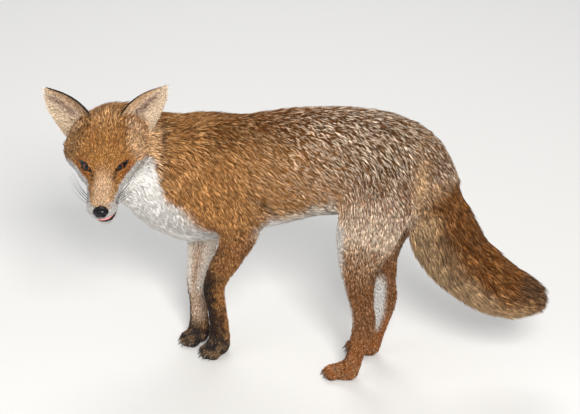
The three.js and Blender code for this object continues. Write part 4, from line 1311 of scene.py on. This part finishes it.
def whisker_material():
    m = Nodes("whisker", roughness=0.45, Specular_IOR_Level=0.4)
    return m.coloured(m.ramp(m.noise(400.0), (0.01, 0.009, 0.008), (0.04, 0.035, 0.03)))


# ------------------------------------------------------------------ the small pieces
def finish_piece(ob, material, slot, *nodes):
    ob.data.materials.append(material)
    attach(ob, "root")
    if nodes:
        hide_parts(*nodes)
    return ob


def make_eye(side, material):
    """An eyeball with a bulging cornea over its iris and upright slit pupil, looking out of the lids."""
    out = lid_frame(side)[3]
    gaze = unit(out * 0.6 + Head.forward * 0.5 + Head.up * 0.12)
    up = unit(Head.up - gaze * (Head.up @ gaze))
    axes = np.stack([gaze, np.cross(up, gaze), up])

    def bulge(sphere, body):
        return body * (1 + 0.07 * step(0.8, 1, sphere[:, 0]))[:, None]

    centre = head_point(EYE_AT[side], SIDES[side])
    eye = ball("eyeball_" + side, centre, axes, np.full(3, EYE_RADIUS * MM * 0.995), 64, 96, bulge)
    local = unit((points_of(eye.data) - centre) @ axes.T)
    angle = np.degrees(np.arccos(np.clip(local[:, 0], -1, 1)))
    slit = np.hypot(local[:, 1] / 0.27, local[:, 2] / 0.44)
    c = blend(colour(128, 68, 24), colour(44, 22, 12), step(20, 38, angle))
    c = blend(c, colour(14, 9, 8), step(39, 43, angle))
    c = blend(c, colour(44, 30, 24), step(60, 66, angle))
    c = blend(c, colour(4, 4, 6), step(1.12, 0.95, slit))
    paint(eye, "Iris", c)
    return finish_piece(eye, material, "eye", "eye_" + side)


def make_nose(material):
    """The nose pad with comma-shaped nostrils and a groove down its middle."""

    def shape(sphere, body):
        x, y, z = (body / MM + SOLID_NOSE_AT).T
        aside = np.abs(y)
        pit = spot((aside, 5.4, 2.4), (z, -26.2, 1.9)) * step(72, 76, x)
        wing = spot((aside, 8.8, 2.2), (z, -28.2, 1.2)) * step(68, 74, x)
        groove = spot((y, 0, 0.8)) * step(-24, -28, z) * step(70, 74, x)
        brow = spot((aside, 4.5, 4), (z, -20.5, 3)) * step(70, 76, x)
        inwards = 3.2 * pit + 1.8 * wing + 0.9 * groove - 0.5 * brow
        return body * (1 - inwards / 9.5)[:, None]

    nose = ball("nose_pad", head_point(NOSE_AT), Head.axes, np.array(NOSE_RADII) * MM, 90, 120, shape)
    return finish_piece(nose, material, "nose", "nose")


def smooth_copy(node, name):
    """A CAD node's solid, made smooth."""
    ob = rounded(new_object(name, welded(node)), 2)
    ob.data.materials.clear()
    ob.data.polygons.foreach_set("use_smooth", np.ones(len(ob.data.polygons), bool))
    return ob


def tube_along(line, radii, around=6):
    """Points and faces of a closed tapering tube."""
    way = unit(np.gradient(line, axis=0))
    side = unit(np.cross(way, [0.13, 0.27, 0.95]))
    other = np.cross(way, side)
    cosine, sine = (part[None, :, None] for part in circle(around))
    rings = line[:, None] + radii[:, None, None] * (side[:, None] * cosine + other[:, None] * sine)
    points = np.vstack([rings.reshape(-1, 3), line[:1], line[-1:]])
    start, end = len(points) - 2, len(points) - 1
    ring = np.arange(around)
    ends = np.vstack([fan(start, ring)[:, [0, 2, 1]], fan(end, start - around + ring)])
    return points, band(len(line), around), ends


TONGUE_BEHIND = 56  # the tongue lies on the lips in front of this
TONGUE_RIGHT = -9.5  # and to the left of this
# Its outline from the side against the front of the lip: forward and up.
TONGUE_OUTLINE = (
    (-8, -1.9), (-4, -1.9), (-1.0, -1.6), (0.8, -1.1), (1.9, -0.2), (2.3, 1.0), (2.1, 2.1), (1.5, 2.8),
    (0.9, 2.4), (0.5, 1.4), (0.1, 0.3), (-1.0, -0.4), (-4, -0.7), (-8, -0.7),
)


def make_tongue(tree, material):
    """The tip of the tongue, licking the upper lip: it comes out of the mouth and curls up over the lip."""
    front = []
    for aside in np.linspace(-14, 20, 69):
        reaches = []
        for z in (-36, -37.5, -39):
            hit = tree.ray_cast(Vector(head_point((125, aside, z))), Vector(-Head.forward))[0]
            reaches.append(in_head(np.array(hit))[0] if hit else 0)
        if max(reaches) > TONGUE_BEHIND:
            front.append((aside, max(reaches)))
    asides, reaches = np.array(front).T
    first, last = max(asides[0], TONGUE_RIGHT), asides[-1]
    share = np.linspace(-1, 1, 41)
    aside = 0.5 * (first + last) + 0.5 * (last - first) * share
    reach = np.interp(aside, asides, reaches)
    lip = lips(reach - 3)[0] + SNOUT_SHIFT[2] * turn_share(reach - 2)
    size = np.maximum(0.04, 1 - share**2) ** 0.5
    sections = relaxed_line(np.stack([aside, reach, lip, size], axis=1), 30)
    points = []
    for aside, reach, lip, size in sections:
        for x, z in TONGUE_OUTLINE:
            groove = 0.4 * math.exp(-(((aside - 4.5) / 1.5) ** 2)) * (z > 0)
            points.append(head_point((reach + x * size - groove, aside, lip + 0.3 + z * size)))
    rows, around = len(sections), len(TONGUE_OUTLINE)
    ring = np.arange(around)
    faces = [band(rows, around), ring[::-1][None], ring[None] + (rows - 1) * around]
    tongue = rounded(make_mesh("tongue_soft", np.array(points), faces), 1)
    return finish_piece(tongue, material, "tongue", "tongue")


def relaxed_line(rows, rounds):
    for _ in range(rounds):
        rows[1:-1] = 0.5 * rows[1:-1] + 0.25 * (rows[:-2] + rows[2:])
    return rows


def make_whiskers(tree, material):
    """Stiff black hairs in three rows on each side of the snout."""
    points, quads, ends = [], [], []
    total = 0
    for s in (1, -1):
        for row in range(3):
            for k in range(2 + (row % 2)):
                length = (34 + 12 * k + 5 * row) * MM * rng.uniform(0.9, 1.1)
                way = head_way((-0.7 - 0.12 * k, 0.68, 0.24 - 0.14 * row + rng.uniform(-0.08, 0.08)), s)
                sag = head_way((-0.8, -0.15, -0.15), s)
                near = head_point((62 - 8.5 * k - 2 * row, 15.5, -20 - 3.2 * row), s)
                start = np.array(tree.find_nearest(Vector(near))[0]) - way * 0.002
                t = np.linspace(0, 1, 9)[:, None]
                line = start + way * t * length + sag * t**2 * length * 0.45
                p, q, e = tube_along(line, np.linspace(0.32, 0.07, 9) * MM)
                points.append(p)
                quads.append(q + total)
                ends.append(e + total)
                total += len(p)
    whiskers = make_mesh("whiskers", np.vstack(points), [np.vstack(quads), np.vstack(ends)])
    return finish_piece(whiskers, material, "claw")


# ------------------------------------------------------------------ putting it together
def build_skin():
    """The skin with its mouth and lids open, and with its ears."""
    skin = make_skin()
    open_mouth(skin)
    open_lids(skin)
    for side in SIDES:
        cut(skin, ear_shell(side), "UNION")
    return skin


def paint_skin(skin, coat):
    """The coat's colours, darker, and near black in the mouth: black lips, and painted shade inside the
    slit.
    """
    h = in_head(coat.points)
    tone = coat.colour * (SKIN_TINT + 0.3 * whiteness(coat.colour))[:, None]
    mouth = in_mouth(h, 11, 0.9, 0.7) & (np.abs(h[:, 1]) < MOUTH_HALF)
    paint(skin, "Fur", blend(tone, colour(24, 18, 18), mouth))


def build():
    skin = build_skin()
    tree = BVHTree.FromObject(skin, bpy.context.evaluated_depsgraph_get())
    coat = Coat(skin)
    paint_skin(skin, coat)
    skin.data.materials.clear()
    finish_piece(skin, skin_material(), "coat", *FLESH, *EARS)

    fur = fur_material()
    for piece in make_coat(skin, coat):
        finish_piece(piece, fur, "coat")

    rim = rim_material()
    eye = eye_material()
    for side in SIDES:
        points, faces, dark = lids(side, tree)
        ob = make_mesh("lids_" + side, points, [faces])
        paint(ob, "Rim", blend(colour(120, 76, 44), colour(17, 13, 12), dark))
        finish_piece(ob, rim, "nose")
        make_eye(side, eye)
    make_nose(nose_material())
    make_tongue(tree, tongue_material())
    horn = horn_material()
    for node in NODES:
        if "claw" in node:
            finish_piece(smooth_copy(node, "horn_" + node), horn, "claw", node)
    make_whiskers(tree, whisker_material())


# ------------------------------------------------------------------ stage
def area_light(name, azimuth, elevation, distance, size, power, tint=(1, 1, 1)):
    """A soft square lamp that looks at the middle of the fox."""
    light = bpy.data.lights.new(name, "AREA")
    light.energy, light.size, light.color = power, size, tint
    place(new_object(name, light), azimuth, elevation, distance, Vector((0, 0, CAMERA["height"])))


def place(ob, azimuth, elevation, distance, target):
    """Puts an object round a target and turns it to look at it."""
    a, e = math.radians(azimuth), math.radians(elevation)
    back = Vector((math.sin(a) * math.cos(e), -math.cos(a) * math.cos(e), math.sin(e)))
    ob.location = target + back * distance
    ob.rotation_euler = back.to_track_quat("Z", "Y").to_euler()


def make_floor():
    corners = np.array([(-1, -1, 0), (1, -1, 0), (1, 1, 0), (-1, 1, 0)]) * FLOOR_HALF
    floor = make_mesh("floor", corners, [np.arange(4)[None]], False)
    m = Nodes("floor", roughness=0.9, Specular_IOR_Level=0.1, Base_Color=(0.72, 0.71, 0.69, 1))
    floor.data.materials.append(m.material)


def make_stage():
    make_floor()
    world = bpy.data.worlds.new("studio")
    world.use_nodes = True
    background = world.node_tree.nodes["Background"].inputs
    background["Color"].default_value = (0.9, 0.92, 0.95, 1)
    background["Strength"].default_value = 0.55
    bpy.context.scene.world = world
    area_light("key", azimuth=28, elevation=36, distance=2.8, size=0.8, power=92, tint=(1, 0.98, 0.95))
    area_light("fill", azimuth=-50, elevation=20, distance=3.0, size=2.0, power=13, tint=(0.97, 0.98, 1))
    area_light("rim", azimuth=200, elevation=50, distance=2.8, size=1.4, power=26)

    camera = bpy.data.cameras.new("camera")
    camera.lens = CAMERA["lens"]
    ob = new_object("camera", camera)
    target = Vector((-CAMERA["back"], TRUNK_MIDDLE[1], CAMERA["height"]))
    place(ob, CAMERA["azimuth"], CAMERA["elevation"], CAMERA["distance"], target)
    bpy.context.scene.camera = ob
    bpy.context.scene.view_settings.view_transform = "Standard"


build()
make_stage()
